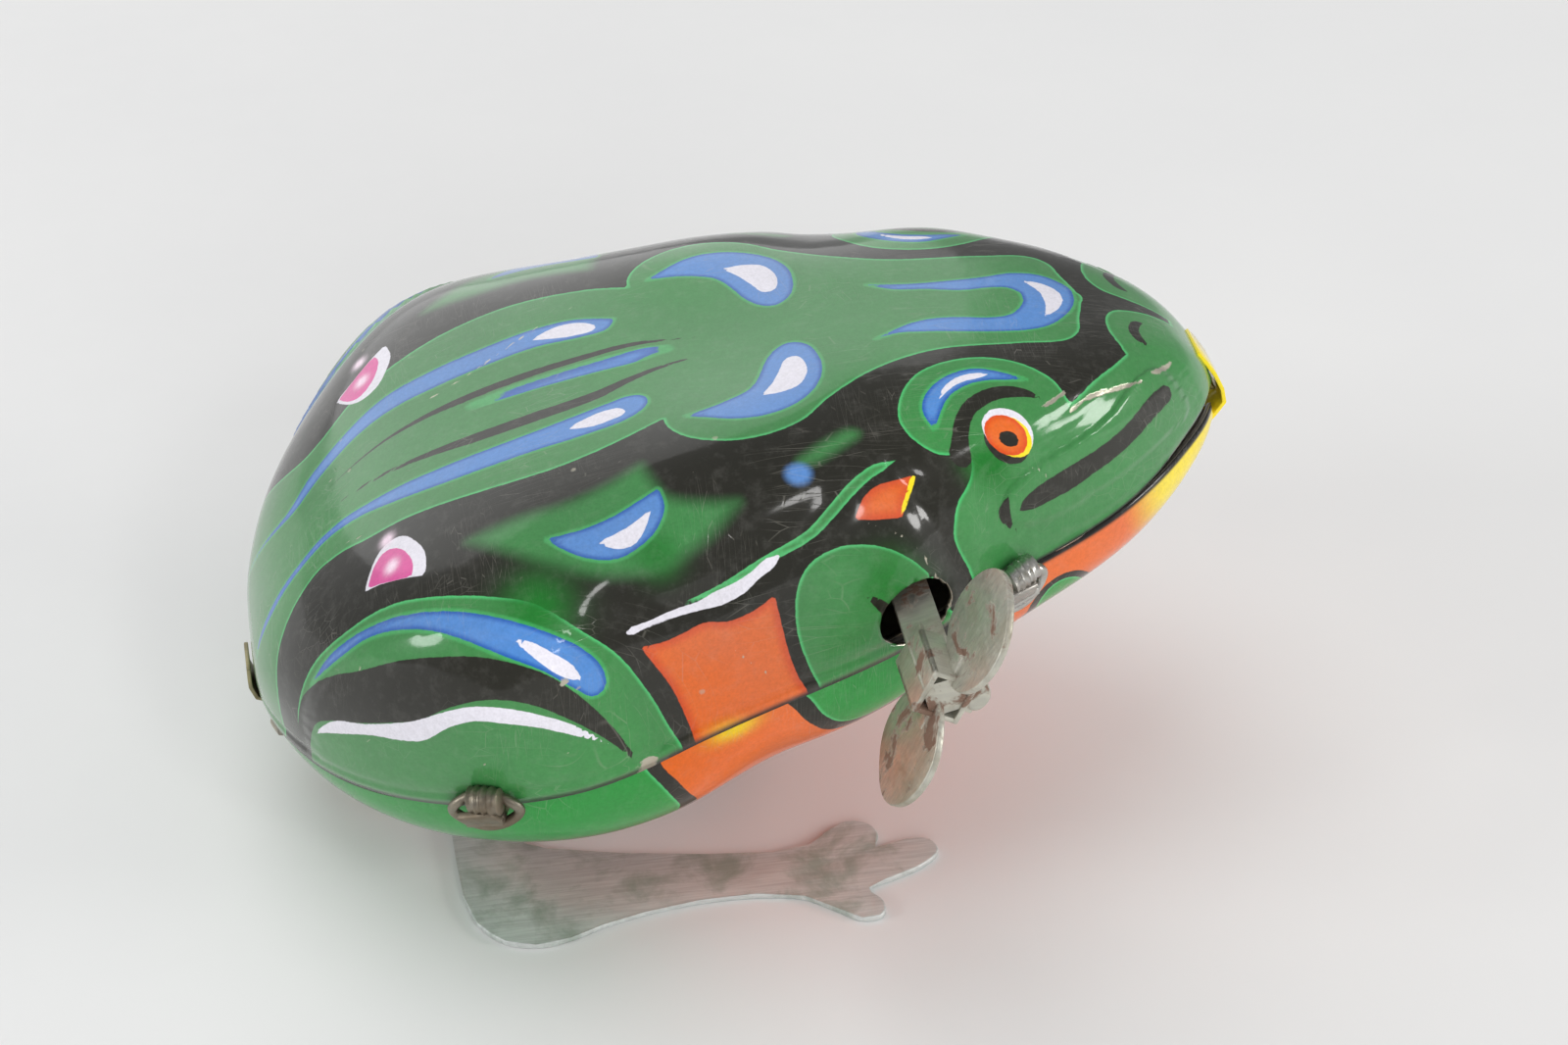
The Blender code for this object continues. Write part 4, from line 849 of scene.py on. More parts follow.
def winding_key(steel):
    """Folded steel key: two wings, a sleeve round the square bar, and the curl that closes it."""
    inner = -(float(half_width(KEY_X)) + KEY_STAND_OFF)
    outer = inner - KEY_SLEEVE
    bm = bmesh.new()
    for way, reach in KEY_WING_REACH.items():
        wing = key_wing(way, reach)
        bmesh.ops.translate(wing, vec=(0, outer + 1.0, 0), verts=wing.verts)
        add_mesh(bm, wing)
    for sign in (-1, 1):
        middle = sign * (KEY_HALF - KEY_WALL / 2)
        low, high = middle - KEY_WALL / 2, middle + KEY_WALL / 2
        bar(bm, (-KEY_HALF, outer, low), (KEY_HALF, inner + 0.3 * (sign + 1), high), 0.14)
        bar(bm, (low, outer + 0.05, -KEY_HALF), (high, inner - 0.05, KEY_HALF), 0.14)
    for sign in (-1, 1):
        low, high = sign * 1.2 - 0.5, sign * 2.6 + 0.5 * sign
        bar(bm, (low, outer + 0.35, -0.42), (high, outer + 1.75, 0.34), 0.2)
    curl = roll(bm, 28, 1.05, 2.6)
    bmesh.ops.rotate(bm, matrix=Matrix.Rotation(math.pi / 2, 3, "X"), verts=curl)
    bmesh.ops.scale(bm, vec=(1.0, 1.0, 0.72), verts=curl)
    bmesh.ops.translate(bm, vec=(0.5, outer + 1.5, -KEY_HALF - 0.55), verts=curl)
    ends = [e for e in {e for v in curl for e in v.link_edges} if e.calc_face_angle(0) > 1.2]
    round_edges(bm, ends, 0.3, 3)
    bar(bm, (-0.9, outer + 0.5, -KEY_HALF - 0.75), (1.3, outer + 3.6, -KEY_HALF + 0.1), 0.14)
    turn = Matrix.Translation((KEY_X, 0, KEY_Z)) @ Matrix.Rotation(KEY_TURN, 4, "Y")
    bmesh.ops.transform(bm, matrix=BODY @ turn, verts=bm.verts)
    obj = piece(bm, "folded_key", [steel], 45)
    return ride_as(obj, "key_shaft", "key_steel", "winding_key")


def add_mesh(bm, other):
    """Adds another shape to this one and frees it."""
    mesh = bpy.data.meshes.new("shape")
    other.to_mesh(mesh)
    other.free()
    bm.from_mesh(mesh)
    bpy.data.meshes.remove(mesh)


def crimped_knob(lean):
    """The lug's rolled end: a short roll across the clip, pinched with toothed pliers."""
    bm = bmesh.new()
    roll(bm, 32, 1.0, 2.7)
    bmesh.ops.rotate(bm, matrix=Matrix.Rotation(math.pi / 2, 3, "Y"), verts=bm.verts)
    along = [e for e in bm.edges if abs(e.verts[0].co.x - e.verts[1].co.x) > 1]
    bmesh.ops.subdivide_edges(bm, edges=along, cuts=19, use_grid_fill=True)
    for vert in bm.verts:
        x = vert.co.x
        waist = 1 - 0.22 * (abs(x) / 1.35) ** 5 + 0.12 * max(-0.3, math.cos(x * 2 * math.pi / 0.6))
        vert.co.y *= waist
        vert.co.z = vert.co.z * waist * 0.9 + 0.14 * lean * x
    bmesh.ops.scale(bm, vec=(0.82, 0.95, 1.0), verts=bm.verts)
    bmesh.ops.translate(bm, vec=(-0.5, 1.5, 1.75), verts=bm.verts)
    return bm


def clip(place, side, steel):
    """One lug: a flat arm out through the seam, rolled into a crimped knob over its end plate."""
    word = "right" if side < 0 else "left"
    name = "seam_lug_" + place + "_" + word
    bm = bmesh.new()
    bar(bm, (-LUG_HALF, -6.0, -LUG_HALF_THICK), (LUG_HALF, 1.9, LUG_HALF_THICK), 0.08)
    lean = 1 if place == "rear" else -1
    add_mesh(bm, crimped_knob(lean))
    hang = Matrix.Translation((0.2, 2.1, 0.95)) @ Matrix.Rotation(math.radians(-28), 4, "X")
    hang = hang @ Matrix.Rotation(math.radians(8 * lean), 4, "Y")
    bar(bm, (-1.35, -0.28, -1.5), (1.35, 0.28, 0.3), 0.14, hang)
    bmesh.ops.recalc_face_normals(bm, faces=bm.faces)
    bmesh.ops.transform(bm, matrix=BODY @ clip_matrix(place, side), verts=bm.verts)
    obj = piece(bm, "crimped_" + name, [steel], 50)
    ride_as(obj, "frog_body", "clip_steel", name)
    bracket(place, side, steel)
    ring(place, side, word, steel)


def bracket(place, side, steel):
    """The lug's foot against the movement plate, inside the shell."""
    x = CLIP_X[place]
    wide = float(half_width(x))
    bm = bmesh.new()
    for end, top in ((wide - 3.0, LUG_HALF_THICK), (PLATE_FACE + 0.6, 3.0)):
        low, high = sorted((side * PLATE_FACE, side * end))
        bar(bm, (x - LUG_HALF, low, -LUG_HALF_THICK), (x + LUG_HALF, high, top), 0.08)
    bmesh.ops.transform(bm, matrix=BODY, verts=bm.verts)
    word = "right" if side < 0 else "left"
    ride_as(piece(bm, "lug_foot_" + place + "_" + word, [steel]), "frog_body", "clip_steel")


def ring(place, side, word, steel):
    bm = bmesh.new()
    start = bmesh.ops.create_circle(bm, cap_ends=False, segments=14, radius=RING_WIRE)["verts"]
    bmesh.ops.translate(bm, vec=(1.0, 0, 0), verts=start)
    bmesh.ops.rotate(bm, matrix=Matrix.Rotation(math.pi / 2, 3, "X"), verts=start)
    edges = list({e for v in start for e in v.link_edges})
    bmesh.ops.spin(
        bm, geom=start + edges, cent=(0, 0, 0), axis=(0, 0, 1), angle=2 * math.pi, steps=56,
        use_merge=True, use_duplicate=False,
    )
    for vert in bm.verts:
        turn = math.atan2(vert.co.y, vert.co.x)
        out = vert.co.xy.length - 1.0
        vert.co.x, vert.co.y, vert.co.z = (
            (RING_LONG + out) * math.cos(turn),
            0.85 + vert.co.z + 0.12 * math.sin(3 * turn),
            (RING_SHORT + out) * math.sin(turn) + 0.35,
        )
    bmesh.ops.recalc_face_normals(bm, faces=bm.faces)
    bmesh.ops.transform(bm, matrix=BODY @ clip_matrix(place, side), verts=bm.verts)
    name = "seam_ring_" + place + "_" + word
    ride_as(piece(bm, "wire_" + name, [steel], 0), "frog_body", "clip_steel", name)


# The leg stamping in millimetres from its rear edge, one side of it
LEG_THICK, LEG_REAR = 0.5 / 1000, -2.2
LEG = [
    (0.0, 15.4), (0.7, 18.4), (2.3, 20.5), (4.6, 21.3), (7, 20.9), (9.6, 19.9), (12.6, 19.1),
    (16.3, 18.6), (20.3, 18.7), (23.4, 19.4), (25.4, 21), (27.2, 22.4), (28.6, 22.2), (28.9, 20.9),
    (28.2, 19.3), (30, 18.5), (32.6, 17.3), (33.8, 16), (33.3, 14.7), (31.6, 14.5), (29.5, 15.0),
    (29.9, 13.5), (29.4, 12.3), (28, 11.8), (26.4, 12.6), (24.7, 13.9), (22, 14.3), (17.3, 13.7),
    (11.3, 12.5), (6.6, 11.3), (4.9, 10.2, 1), (4.4, 8.6, 1),
]


def leg_sheet(steel):
    """Both legs as one smooth stamping; the riser, ears and arm above it keep their shape."""
    bm = bmesh.new()
    bm.from_mesh(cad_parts["leg_plate"].data)
    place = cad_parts["leg_plate"].matrix_world
    bmesh.ops.transform(bm, matrix=place, verts=bm.verts)
    bmesh.ops.remove_doubles(bm, verts=bm.verts, dist=1e-7)
    low = min(v.co.z for v in bm.verts)
    bmesh.ops.bisect_plane(
        bm, geom=bm.verts[:] + bm.edges[:] + bm.faces[:], plane_co=(0, 0, low + LEG_THICK),
        plane_no=(0, 0, 1), clear_inner=True,
    )
    bmesh.ops.holes_fill(bm, edges=[e for e in bm.edges if e.is_boundary])
    bmesh.ops.dissolve_limit(bm, angle_limit=math.radians(1), verts=bm.verts, edges=bm.edges)
    half = [(LEG_REAR + u, v) for u, v in outline(LEG + [(4.4, 0)], closed=False)]
    loop = [(u, -v) for u, v in half] + half[-2::-1]
    flat = [bm.verts.new((u / 1000, v / 1000, low + 0.00002)) for u, v in loop]
    face = bm.faces.new(flat)
    raised = bmesh.ops.extrude_face_region(bm, geom=[face])["geom"]
    top = [v for v in raised if isinstance(v, bmesh.types.BMVert)]
    bmesh.ops.translate(bm, vec=(0, 0, LEG_THICK - 0.00001), verts=top)
    both = set(flat + top)
    edges = {e for v in flat + top for e in v.link_edges if all(w in both for w in e.verts)}
    rims = [e for e in edges if abs(e.verts[0].co.z - e.verts[1].co.z) < 1e-7]
    round_edges(bm, rims, 0.00014)
    bmesh.ops.recalc_face_normals(bm, faces=bm.faces)
    return ride_as(piece(bm, "leg_sheet", [steel], 35), "legs", "leg_steel", "leg_plate")


def softened(node, name, material, bevel, body, slot):
    """A carried-over piece, its loose triangles merged and its edges given a small bevel."""
    bm = bmesh.new()
    bm.from_mesh(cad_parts[node].data)
    bmesh.ops.remove_doubles(bm, verts=bm.verts, dist=1e-7)
    bmesh.ops.dissolve_limit(bm, angle_limit=math.radians(1), verts=bm.verts, edges=bm.edges)
    bmesh.ops.recalc_face_normals(bm, faces=bm.faces)
    obj = piece(bm, name, [material], 30)
    edge = obj.modifiers.new("soft edge", "BEVEL")
    edge.width = bevel / 1000
    edge.segments = 2
    edge.limit_method = "ANGLE"
    edge.angle_limit = math.radians(50)
    edge.harden_normals = True
    return ride_as(obj, body, slot, node)


# ------------------------------------------------------------ shader helpers
def node(tree, kind, inputs=None, **settings):
    made = tree.nodes.new(kind)
    for key, value in settings.items():
        setattr(made, key, value)
    for socket, source in (inputs or {}).items():
        if isinstance(source, bpy.types.NodeSocket):
            tree.links.new(source, made.inputs[socket])
        else:
            made.inputs[socket].default_value = source
    return made


def maths(tree, operation, *values, clamp=False):
    made = node(tree, "ShaderNodeMath", dict(enumerate(values)), operation=operation)
    made.use_clamp = clamp
    return made.outputs[0]


def blend(tree, factor, low, high):
    made = node(tree, "ShaderNodeMix", data_type="RGBA")
    for socket, source in ((0, factor), (6, low), (7, high)):
        if isinstance(source, bpy.types.NodeSocket):
            tree.links.new(source, made.inputs[socket])
        else:
            made.inputs[socket].default_value = source if socket == 0 else (*source[:3], 1)
    return made.outputs[2]


def times(tree, first, second):
    return maths(tree, "MULTIPLY", first, second)


def plus(tree, first, second):
    return maths(tree, "ADD", first, second)


def span(tree, value, low, high, to_low=0.0, to_high=1.0, smooth=False):
    made = node(tree, "ShaderNodeMapRange", {0: value, 1: low, 2: high, 3: to_low, 4: to_high})
    made.interpolation_type = "SMOOTHSTEP" if smooth else "LINEAR"
    return made.outputs[0]


def noise(tree, place, scale, detail=3.0, rough=0.55, warp=0.0):
    inputs = {"Vector": place, "Scale": scale, "Detail": detail, "Roughness": rough}
    return node(tree, "ShaderNodeTexNoise", inputs | {"Distortion": warp}).outputs["Fac"]


def turned(tree, place, rotation, stretch):
    inputs = {"Vector": place, "Rotation": rotation, "Scale": stretch}
    return node(tree, "ShaderNodeMapping", inputs).outputs[0]


def cell(tree, place, scale, feature="F1"):
    return node(tree, "ShaderNodeTexVoronoi", {"Vector": place, "Scale": scale}, feature=feature)


def colour(red, green, blue):
    """A screen colour of 0 to 255 as linear light."""
    return tuple(((tone / 255 + 0.055) / 1.055) ** 2.4 for tone in (red, green, blue))


def new_group(name, inputs, outputs):
    tree = bpy.data.node_groups.new(name, "ShaderNodeTree")
    for title, kind, value in inputs:
        socket = tree.interface.new_socket(name=title, in_out="INPUT", socket_type=kind)
        if value is not None:
            socket.default_value = value
    for title, kind in outputs:
        tree.interface.new_socket(name=title, in_out="OUTPUT", socket_type=kind)
    return tree, tree.nodes.new("NodeGroupInput"), tree.nodes.new("NodeGroupOutput")


def use(tree, group, inputs):
    made = node(tree, "ShaderNodeGroup")
    made.node_tree = group
    for socket, source in inputs.items():
        if isinstance(source, bpy.types.NodeSocket):
            tree.links.new(source, made.inputs[socket])
        elif made.inputs[socket].type == "RGBA":
            made.inputs[socket].default_value = (*source[:3], 1)
        else:
            made.inputs[socket].default_value = source
    return made


FLOAT, COLOUR, VECTOR = "NodeSocketFloat", "NodeSocketColor", "NodeSocketVector"


def ink_edge_group():
    """Turns a signed distance into a crisp ink edge with the wobble of a printing plate."""
    inputs = [("Distance", FLOAT, 0.0), ("Place", VECTOR, None), ("Soft", FLOAT, 0.05)]
    tree, start, end = new_group("ink edge", inputs, [("Mask", FLOAT)])
    wobble = noise(tree, start.outputs["Place"], 2200, 2)
    shifted = plus(tree, start.outputs["Distance"], span(tree, wobble, 0, 1, -0.05, 0.05))
    half = times(tree, start.outputs["Soft"], 0.5)
    low = times(tree, half, -1.0)
    tree.links.new(span(tree, shifted, low, half, smooth=True), end.inputs["Mask"])
    return tree


def wear_group():
    """Paint wear: hairline scratches, small chips, and dust in the lacquer."""
    inputs = [("Place", VECTOR, None), ("Amount", FLOAT, 1.0)]
    outputs = [("Scratches", FLOAT), ("Chips", FLOAT), ("Dust", FLOAT)]
    tree, start, end = new_group("paint wear", inputs, outputs)
    place = start.outputs["Place"]
    lines = []
    runs = ((0.5, (1, 14, 1), 190), (1.7, (13, 1, 1), 230), (2.6, (1, 9, 6), 160))
    for turn, stretch, scale in runs:
        bent = turned(tree, place, (0.3, turn * 0.4, turn), stretch)
        cells = cell(tree, bent, scale, "DISTANCE_TO_EDGE").outputs["Distance"]
        few = span(tree, noise(tree, place, 90 + 30 * turn, 2), 0.55, 0.66)
        lines.append(times(tree, span(tree, cells, 0.0, 0.018, 1, 0), few))
    scratches = maths(tree, "MAXIMUM", maths(tree, "MAXIMUM", lines[0], lines[1]), lines[2])
    tree.links.new(times(tree, scratches, start.outputs["Amount"]), end.inputs["Scratches"])
    chips = cell(tree, place, 420.0)
    rag = span(tree, noise(tree, place, 3500, 3), 0, 1, -0.06, 0.06)
    ragged = plus(tree, chips.outputs["Distance"], rag)
    spots = span(tree, ragged, 0.05, 0.1, 1, 0)
    draw = node(tree, "ShaderNodeSeparateColor", {0: chips.outputs["Color"]}).outputs[0]
    rare = span(tree, draw, 0.86, 0.87)
    where = span(tree, noise(tree, place, 60, 2), 0.45, 0.6)
    picked = times(tree, times(tree, spots, rare), where)
    tree.links.new(times(tree, picked, start.outputs["Amount"]), end.inputs["Chips"])
    tree.links.new(span(tree, noise(tree, place, 900, 6, 0.7), 0.5, 0.8), end.inputs["Dust"])
    return tree


def steel_group():
    """Worn sheet steel: rolled streaks, dull patches, tarnish and rust blotches."""
    inputs = [
        ("Place", VECTOR, None), ("Clean", COLOUR, (0.5, 0.5, 0.48, 1)),
        ("Tarnish", COLOUR, (0.2, 0.17, 0.12, 1)), ("Rust", COLOUR, (0.16, 0.06, 0.025, 1)),
        ("Tarnish Amount", FLOAT, 0.4), ("Rust Amount", FLOAT, 0.2), ("Roughness", FLOAT, 0.35),
    ]
    outputs = [("Colour", COLOUR), ("Roughness", FLOAT), ("Metallic", FLOAT), ("Height", FLOAT)]
    tree, start, end = new_group("worn steel", inputs, outputs)
    place = start.outputs["Place"]
    streaks = turned(tree, place, (0.2, 0.1, 0.4), (1, 18, 6))
    rolled = noise(tree, streaks, 260, 4)
    cloud = noise(tree, place, 240, 5, 0.62, 0.4)
    fine = noise(tree, place, 1600, 5, 0.65)
    tarnish_low = maths(tree, "SUBTRACT", 0.72, times(tree, start.outputs["Tarnish Amount"], 0.4))
    tarnish = span(tree, cloud, tarnish_low, plus(tree, tarnish_low, 0.18))
    rust_edge = span(tree, fine, 0, 1, -0.08, 0.08)
    rust_cloud = plus(tree, noise(tree, place, 330, 4, 0.6, 0.8), rust_edge)
    rust_low = maths(tree, "SUBTRACT", 0.78, times(tree, start.outputs["Rust Amount"], 0.4))
    rust = span(tree, rust_cloud, rust_low, plus(tree, rust_low, 0.07))
    streaked = span(tree, rolled, 0.3, 0.7, 0, 0.35)
    toned = blend(tree, streaked, start.outputs["Clean"], (0.2, 0.2, 0.19))
    stained = blend(tree, times(tree, tarnish, 0.7), toned, start.outputs["Tarnish"])
    rusted = blend(tree, times(tree, rust, 0.85), stained, start.outputs["Rust"])
    tree.links.new(rusted, end.inputs["Colour"])
    rough = plus(tree, start.outputs["Roughness"], span(tree, fine, 0.3, 0.7, -0.06, 0.1))
    rough = plus(tree, rough, times(tree, tarnish, 0.12))
    rough = maths(tree, "ADD", rough, times(tree, rust, 0.35), clamp=True)
    tree.links.new(rough, end.inputs["Roughness"])
    tree.links.new(span(tree, rust, 0, 1, 1.0, 0.15), end.inputs["Metallic"])
    height = plus(tree, times(tree, rolled, 0.4), times(tree, fine, 0.35))
    height = plus(tree, height, times(tree, rust, 0.6))
    tree.links.new(height, end.inputs["Height"])
    return tree


def printed_group():
    """Tone of the printed inks: halftone grain and slow drift of the colour."""
    inputs = [("Place", VECTOR, None), ("Ink", COLOUR, (0.5, 0.5, 0.5, 1))]
    tree, start, end = new_group("print tone", inputs, [("Colour", COLOUR)])
    place = start.outputs["Place"]
    grain = cell(tree, place, 5200.0).outputs["Distance"]
    drift = noise(tree, place, 55, 3)
    fine = noise(tree, place, 2600, 4, 0.7)
    light = span(tree, grain, 0, 0.8, -0.05, 0.05)
    light = plus(tree, light, span(tree, drift, 0.3, 0.7, -0.1, 0.1))
    light = plus(tree, light, span(tree, fine, 0.3, 0.7, -0.07, 0.07))
    tinted = node(tree, "ShaderNodeHueSaturation", {
        "Color": start.outputs["Ink"], "Value": plus(tree, light, 1.0),
        "Saturation": span(tree, drift, 0.3, 0.7, 0.94, 1.05),
    })
    tree.links.new(tinted.outputs[0], end.inputs["Colour"])
    return tree


INK_EDGE, WEAR, STEEL, PRINT = ink_edge_group(), wear_group(), steel_group(), printed_group()

GREEN = colour(62, 130, 70)
DEEP_GREEN = colour(26, 112, 38)
LIGHT_GREEN = colour(78, 186, 110)
BLACK = colour(34, 33, 26)
BLUE = colour(84, 134, 198)
DEEP_BLUE = colour(46, 92, 168)
WHITE = colour(224, 221, 230)
ORANGE = colour(220, 104, 42)
YELLOW = colour(240, 216, 30)
PINK = colour(214, 74, 150)
# colour of the painted shade along the seam gap
SEAM_SHADE = colour(22, 20, 16)


def empty_material(name):
    material = bpy.data.materials.new(name)
    material.use_nodes = True
    return material, material.node_tree, material.node_tree.nodes["Principled BSDF"]


def join(tree, source, target):
    tree.links.new(source, target)


def lacquered(name, base, layers):
    """Printed tin under gloss lacquer. Layers: attribute, colour, edge softness, halo or None."""
    material, tree, shader = empty_material(name)
    place = node(tree, "ShaderNodeTexCoord").outputs["Object"]
    ink = base
    for attribute, tone, soft, halo in layers:
        distance = node(tree, "ShaderNodeAttribute", attribute_name=attribute).outputs["Fac"]
        if halo is not None:
            halo_tone, strength = halo
            around = span(tree, distance, -0.32, -0.1, 0, 1, True)
            ink = blend(tree, times(tree, around, strength), ink, halo_tone)
        if soft is None:
            mask = span(tree, distance, 0, 1, 0, 1, True)
        else:
            edge = use(tree, INK_EDGE, {"Distance": distance, "Place": place, "Soft": soft})
            mask = edge.outputs["Mask"]
        if isinstance(tone, list):
            deep, main, reach = tone
            tone = blend(tree, span(tree, distance, 0.0, reach, 0, 1, True), deep, main)
        ink = blend(tree, mask, ink, tone)
    toned = use(tree, PRINT, {"Place": place, "Ink": ink}).outputs["Colour"]
    wear = use(tree, WEAR, {"Place": place, "Amount": 1.0})
    hairs = times(tree, wear.outputs["Scratches"], 0.2)
    scratched = blend(tree, hairs, toned, colour(176, 172, 160))
    bare = wear.outputs["Chips"]
    if name == "printed_top":
        line = node(tree, "ShaderNodeAttribute", attribute_name="scratch").outputs["Fac"]
        rag = span(tree, noise(tree, place, 1500, 4), 0.2, 0.8, -0.12, 0.08)
        bare = maths(tree, "MAXIMUM", bare, span(tree, plus(tree, line, rag), -0.03, 0.05))
    chipped = blend(tree, bare, scratched, colour(196, 190, 172))
    dust = times(tree, wear.outputs["Dust"], 0.05)
    dusted = blend(tree, dust, chipped, colour(215, 213, 205))
    join(tree, dusted, shader.inputs["Base Color"])
    dull = span(tree, noise(tree, place, 140, 4), 0.3, 0.7, 0.3, 0.42)
    join(tree, dull, shader.inputs["Roughness"])
    join(tree, times(tree, bare, 0.7), shader.inputs["Metallic"])
    join(tree, span(tree, bare, 0, 1, 1.0, 0.1), shader.inputs["Coat Weight"])
    smears = span(tree, noise(tree, place, 300, 5, 0.7), 0.35, 0.75, 0.07, 0.16)
    shader.inputs["Coat Roughness"].default_value = 0.11
    join(tree, smears, shader.inputs["Coat Roughness"])
    shader.inputs["Specular IOR Level"].default_value = 0.15
    shader.inputs["Coat IOR"].default_value = 1.38
    swell = noise(tree, place, 110, 3)
    peel = noise(tree, place, 1300, 2)
    height = plus(tree, swell, times(tree, peel, 0.05))
    height = maths(tree, "SUBTRACT", height, times(tree, bare, 0.25))
    grooves = times(tree, wear.outputs["Scratches"], 0.06)
    height = maths(tree, "SUBTRACT", height, grooves)
    bump = node(tree, "ShaderNodeBump", {"Height": height, "Strength": 0.35, "Distance": 0.0002})
    join(tree, bump.outputs[0], shader.inputs["Normal"])
    join(tree, bump.outputs[0], shader.inputs["Coat Normal"])
    return material


def metal(name, clean, tarnish, tarnish_amount, rust_amount, rough, bump=0.4, metallic=0.95):
    material, tree, shader = empty_material(name)
    place = node(tree, "ShaderNodeTexCoord").outputs["Object"]
    worn = use(tree, STEEL, {
        "Place": place, "Clean": clean, "Tarnish": tarnish, "Rust": (0.15, 0.06, 0.03),
        "Tarnish Amount": tarnish_amount, "Rust Amount": rust_amount, "Roughness": rough,
    })
    join(tree, worn.outputs["Colour"], shader.inputs["Base Color"])
    join(tree, worn.outputs["Roughness"], shader.inputs["Roughness"])
    bare = times(tree, worn.outputs["Metallic"], metallic)
    join(tree, bare, shader.inputs["Metallic"])
    inputs = {"Height": worn.outputs["Height"], "Strength": bump, "Distance": 0.00008}
    join(tree, node(tree, "ShaderNodeBump", inputs).outputs[0], shader.inputs["Normal"])
    return material


printed_top = lacquered("printed_top", BLACK, [
    ("green", [LIGHT_GREEN, GREEN, 0.28], 0.07, None),
    ("mist", GREEN, None, None),
    ("blue mist", BLUE, None, None),
    ("shade", DEEP_GREEN, None, None),
    ("orange", [colour(206, 78, 34), ORANGE, 0.8], 0.07, None),
    ("sun", YELLOW, None, None),
    ("blue", [DEEP_BLUE, BLUE, 0.4], 0.07, (LIGHT_GREEN, 0.45)),
    ("black", BLACK, 0.07, None),
    ("white", WHITE, 0.06, None),
    ("pink", PINK, 0.06, None),
    ("glow", colour(246, 220, 236), None, None),
    ("yellow", YELLOW, 0.05, None),
    ("iris", [colour(214, 78, 30), ORANGE, 0.5], 0.05, None),
    ("pupil", BLACK, 0.05, None),
    # painted shade along the rim's edge, for the seam gap's shadow
    ("painted_seam_shade", SEAM_SHADE, None, None),
])
printed_bottom = lacquered("printed_bottom", ORANGE, [
    ("sun", YELLOW, None, None),
    ("lip", YELLOW, None, None),
    ("black", BLACK, 0.07, None),
    ("green", [LIGHT_GREEN, colour(46, 140, 62), 0.28], 0.07, None),
    # painted shade along the belly's top edge, for the seam gap's shadow
    ("painted_seam_shade", SEAM_SHADE, None, None),
])
nose_yellow = lacquered("nose_yellow", YELLOW, [])
rear_tin = metal("rear_tin", colour(168, 160, 120), (0.2, 0.17, 0.1), 0.6, 0.3, 0.35)
bare_tin = metal("bare_tin", colour(190, 184, 168), (0.25, 0.21, 0.15), 0.5, 0.12, 0.32)
plain_steel = metal("plain_steel", colour(168, 168, 162), (0.22, 0.2, 0.17), 0.35, 0.06, 0.34)
leg_steel = metal(
    "leg_steel", colour(218, 222, 219), (0.26, 0.33, 0.26), 0.62, 0.02, 0.5, 0.3, metallic=0.4
)
key_steel = metal(
    "key_steel", colour(208, 206, 192), (0.34, 0.3, 0.22), 0.55, 0.56, 0.4, 0.5, metallic=0.7
)
clip_steel = metal("clip_steel", colour(150, 142, 126), (0.2, 0.15, 0.1), 0.75, 0.3, 0.4, 0.8)
clip_bright = metal("clip_bright", colour(200, 198, 192), (0.24, 0.2, 0.16), 0.45, 0.06, 0.3, 0.8)
blue_steel = metal("blue_steel", colour(92, 98, 116), (0.1, 0.08, 0.06), 0.4, 0.1, 0.3)
brass = metal("brass", colour(196, 160, 88), (0.2, 0.12, 0.05), 0.5, 0.04, 0.3)

# ------------------------------------------------------------ the model
top_shell([printed_top, bare_tin])
bottom_shell([printed_bottom, bare_tin])
end_tabs(nose_yellow, rear_tin)
winding_key(key_steel)
leg_sheet(leg_steel)
for place in CLIP_X:
    for side in (-1, 1):
        clip(place, side, clip_steel if place == "rear" else clip_bright)

# Carried-over movement pieces: CAD node, name, material, edge, body, slot
MOVEMENT = [
    ("winding_arbor", "square_bar", key_steel, 0.12, "key_shaft", "key_steel"),
    ("ratchet_wheel", "ratchet", plain_steel, 0.05, "key_shaft", "bare_steel"),
    ("frame_plate_right", "right_plate", plain_steel, 0.08, "frog_body", "bare_steel"),
    ("frame_plate_left", "left_plate", plain_steel, 0.08, "frog_body", "bare_steel"),
    ("pillar_rear", "rear_pillar", plain_steel, 0.08, "frog_body", "bare_steel"),
    ("pillar_belly", "belly_pillar", plain_steel, 0.08, "frog_body", "bare_steel"),
    ("pillar_front", "front_pillar", plain_steel, 0.08, "frog_body", "bare_steel"),
    ("hinge_pin", "leg_pin", plain_steel, 0.08, "frog_body", "bare_steel"),
    ("great_wheel", "brass_wheel", brass, 0.05, "drive_wheel", "brass"),
    ("click_rivet", "brass_rivet", brass, 0.05, "drive_wheel", "brass"),
    ("click_pawl", "pawl", plain_steel, 0.05, "click", "bare_steel"),
    ("cam_arbor", "cam_bar", plain_steel, 0.06, "cam_shaft", "bare_steel"),
    ("cam_pinion", "brass_pinion", brass, 0.04, "cam_shaft", "brass"),
    ("leg_cam", "snail_cam", plain_steel, 0.06, "cam_shaft", "bare_steel"),
    ("mainspring", "spring_coil", blue_steel, 0.04, "frog_body", "spring_steel"),
    ("leg_spring", "leg_spring_wire", blue_steel, 0.0, "frog_body", "spring_steel"),
]
for movement_piece in MOVEMENT:
    softened(*movement_piece)


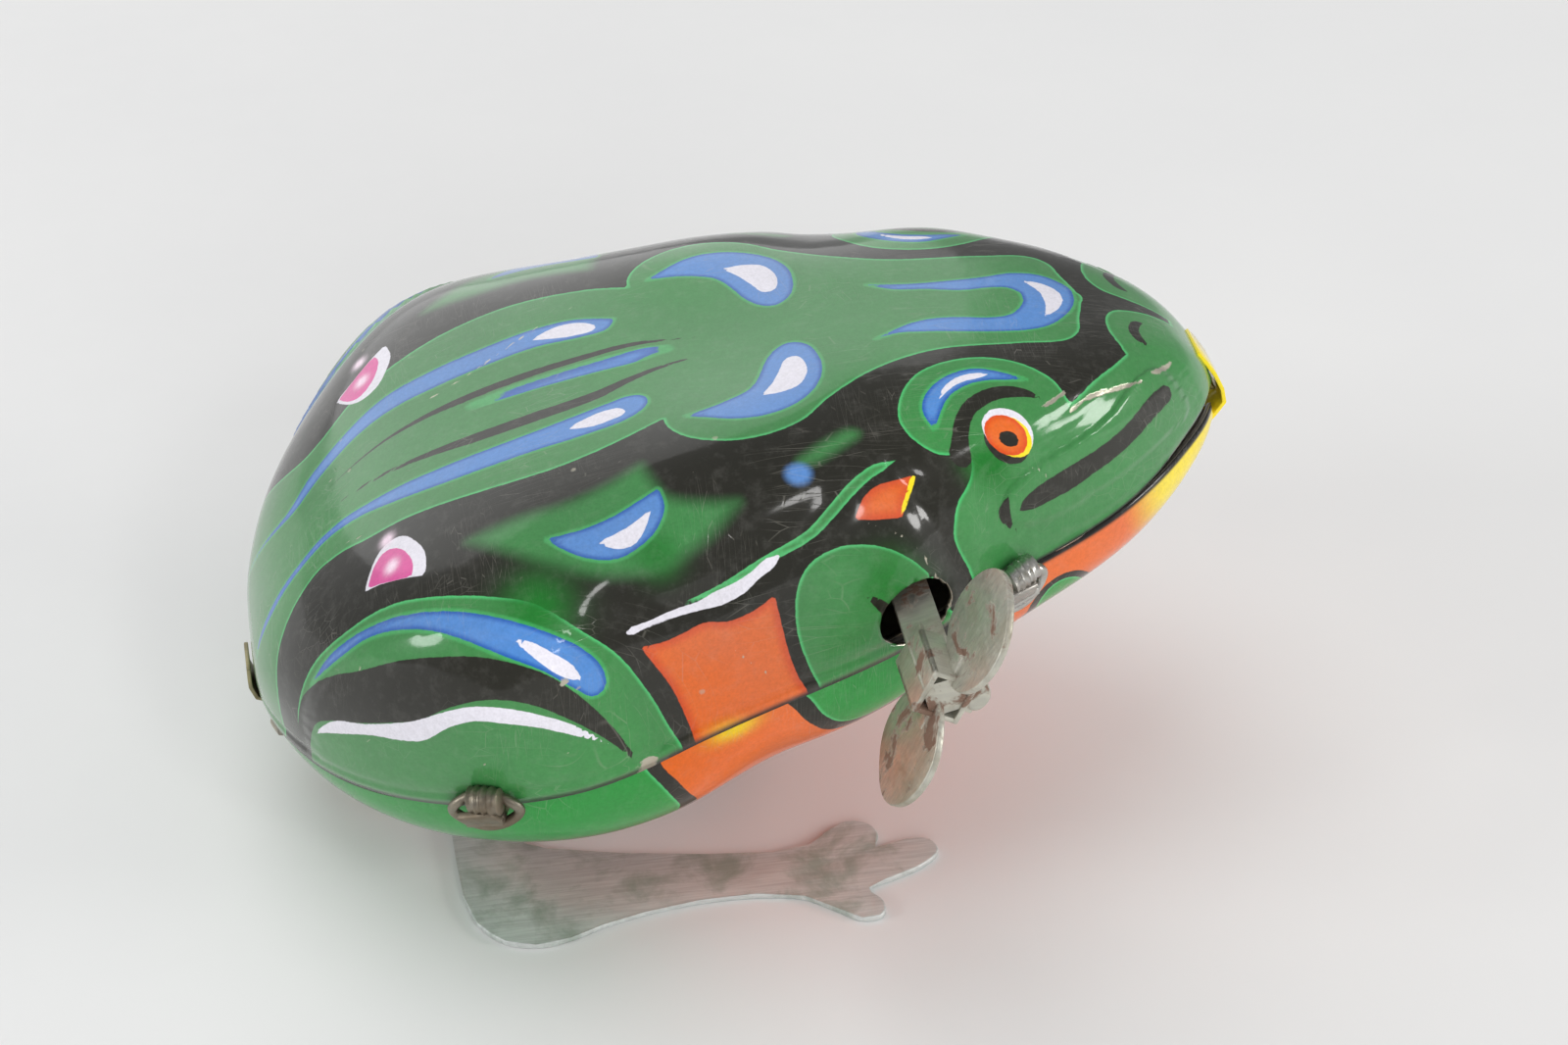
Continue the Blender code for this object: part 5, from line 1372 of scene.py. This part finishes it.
# ------------------------------------------------------------ floor, light and camera
def studio():
    bm = bmesh.new()
    bmesh.ops.create_grid(bm, x_segments=1, y_segments=1, size=1.2)
    floor = piece(bm, "paper_floor", [paper()], 0)
    aim = Vector((0.01, 0, 0.01))
    for name, place, size, power, tint in (
        ("top_light", (-0.1, 0.1, 0.75), 0.6, 1.7, (1.0, 0.99, 0.98)),
        ("back_panel", (-0.25, 0.9, 0.5), 1.2, 3.7, (1.0, 1.0, 1.0)),
        ("fill_light", (0.1, -0.8, 0.28), 0.6, 3.0, (1.0, 1.0, 1.0)),
        ("left_light", (-0.75, -0.1, 0.3), 0.24, 1.7, (0.98, 0.99, 1.0)),
        ("right_light", (0.62, -0.22, 0.2), 0.18, 1.2, (1.0, 0.99, 0.97)),
        ("front_light", (0.3, -0.62, 0.58), 0.14, 0.6, (1.0, 0.99, 0.98)),
    ):
        lamp = bpy.data.lights.new(name, "AREA")
        lamp.shape = "DISK"
        lamp.size = size
        lamp.energy = power
        lamp.color = tint
        obj = bpy.data.objects.new(name, lamp)
        obj.location = place
        obj.rotation_euler = (aim - Vector(place)).to_track_quat("-Z", "Y").to_euler()
        obj.visible_glossy = name not in ("top_light", "fill_light")
        bpy.context.scene.collection.objects.link(obj)
    world = bpy.data.worlds.new("soft_room")
    world.use_nodes = True
    bpy.context.scene.world = world
    sky = world.node_tree.nodes["Background"]
    sky.inputs["Color"].default_value = (0.92, 0.93, 0.95, 1)
    sky.inputs["Strength"].default_value = 0.38


def paper():
    material, tree, shader = empty_material("white_paper")
    place = node(tree, "ShaderNodeTexCoord").outputs["Object"]
    soft = noise(tree, place, 30, 4)
    tone = blend(tree, soft, colour(226, 226, 226), colour(232, 232, 231))
    join(tree, tone, shader.inputs["Base Color"])
    grain = span(tree, noise(tree, place, 400, 3), 0.3, 0.7, 0.65, 0.8)
    join(tree, grain, shader.inputs["Roughness"])
    return material


def camera():
    lens = bpy.data.cameras.new("view")
    lens.lens = 88.9
    lens.sensor_width = 36
    lens.clip_start = 0.01
    obj = bpy.data.objects.new("view", lens)
    right = Vector((0.98481, -0.17365, 0.0))
    up = Vector((0.09916, 0.56238, 0.82091))
    forward = Vector((0.14255, 0.80844, -0.57105))
    turn = Matrix((right, up, -forward)).transposed().to_4x4()
    obj.matrix_world = Matrix.Translation((-0.01614, -0.22353, 0.17665)) @ turn
    bpy.context.scene.collection.objects.link(obj)
    bpy.context.scene.camera = obj


studio()
camera()
bpy.context.scene.view_settings.view_transform = "Standard"
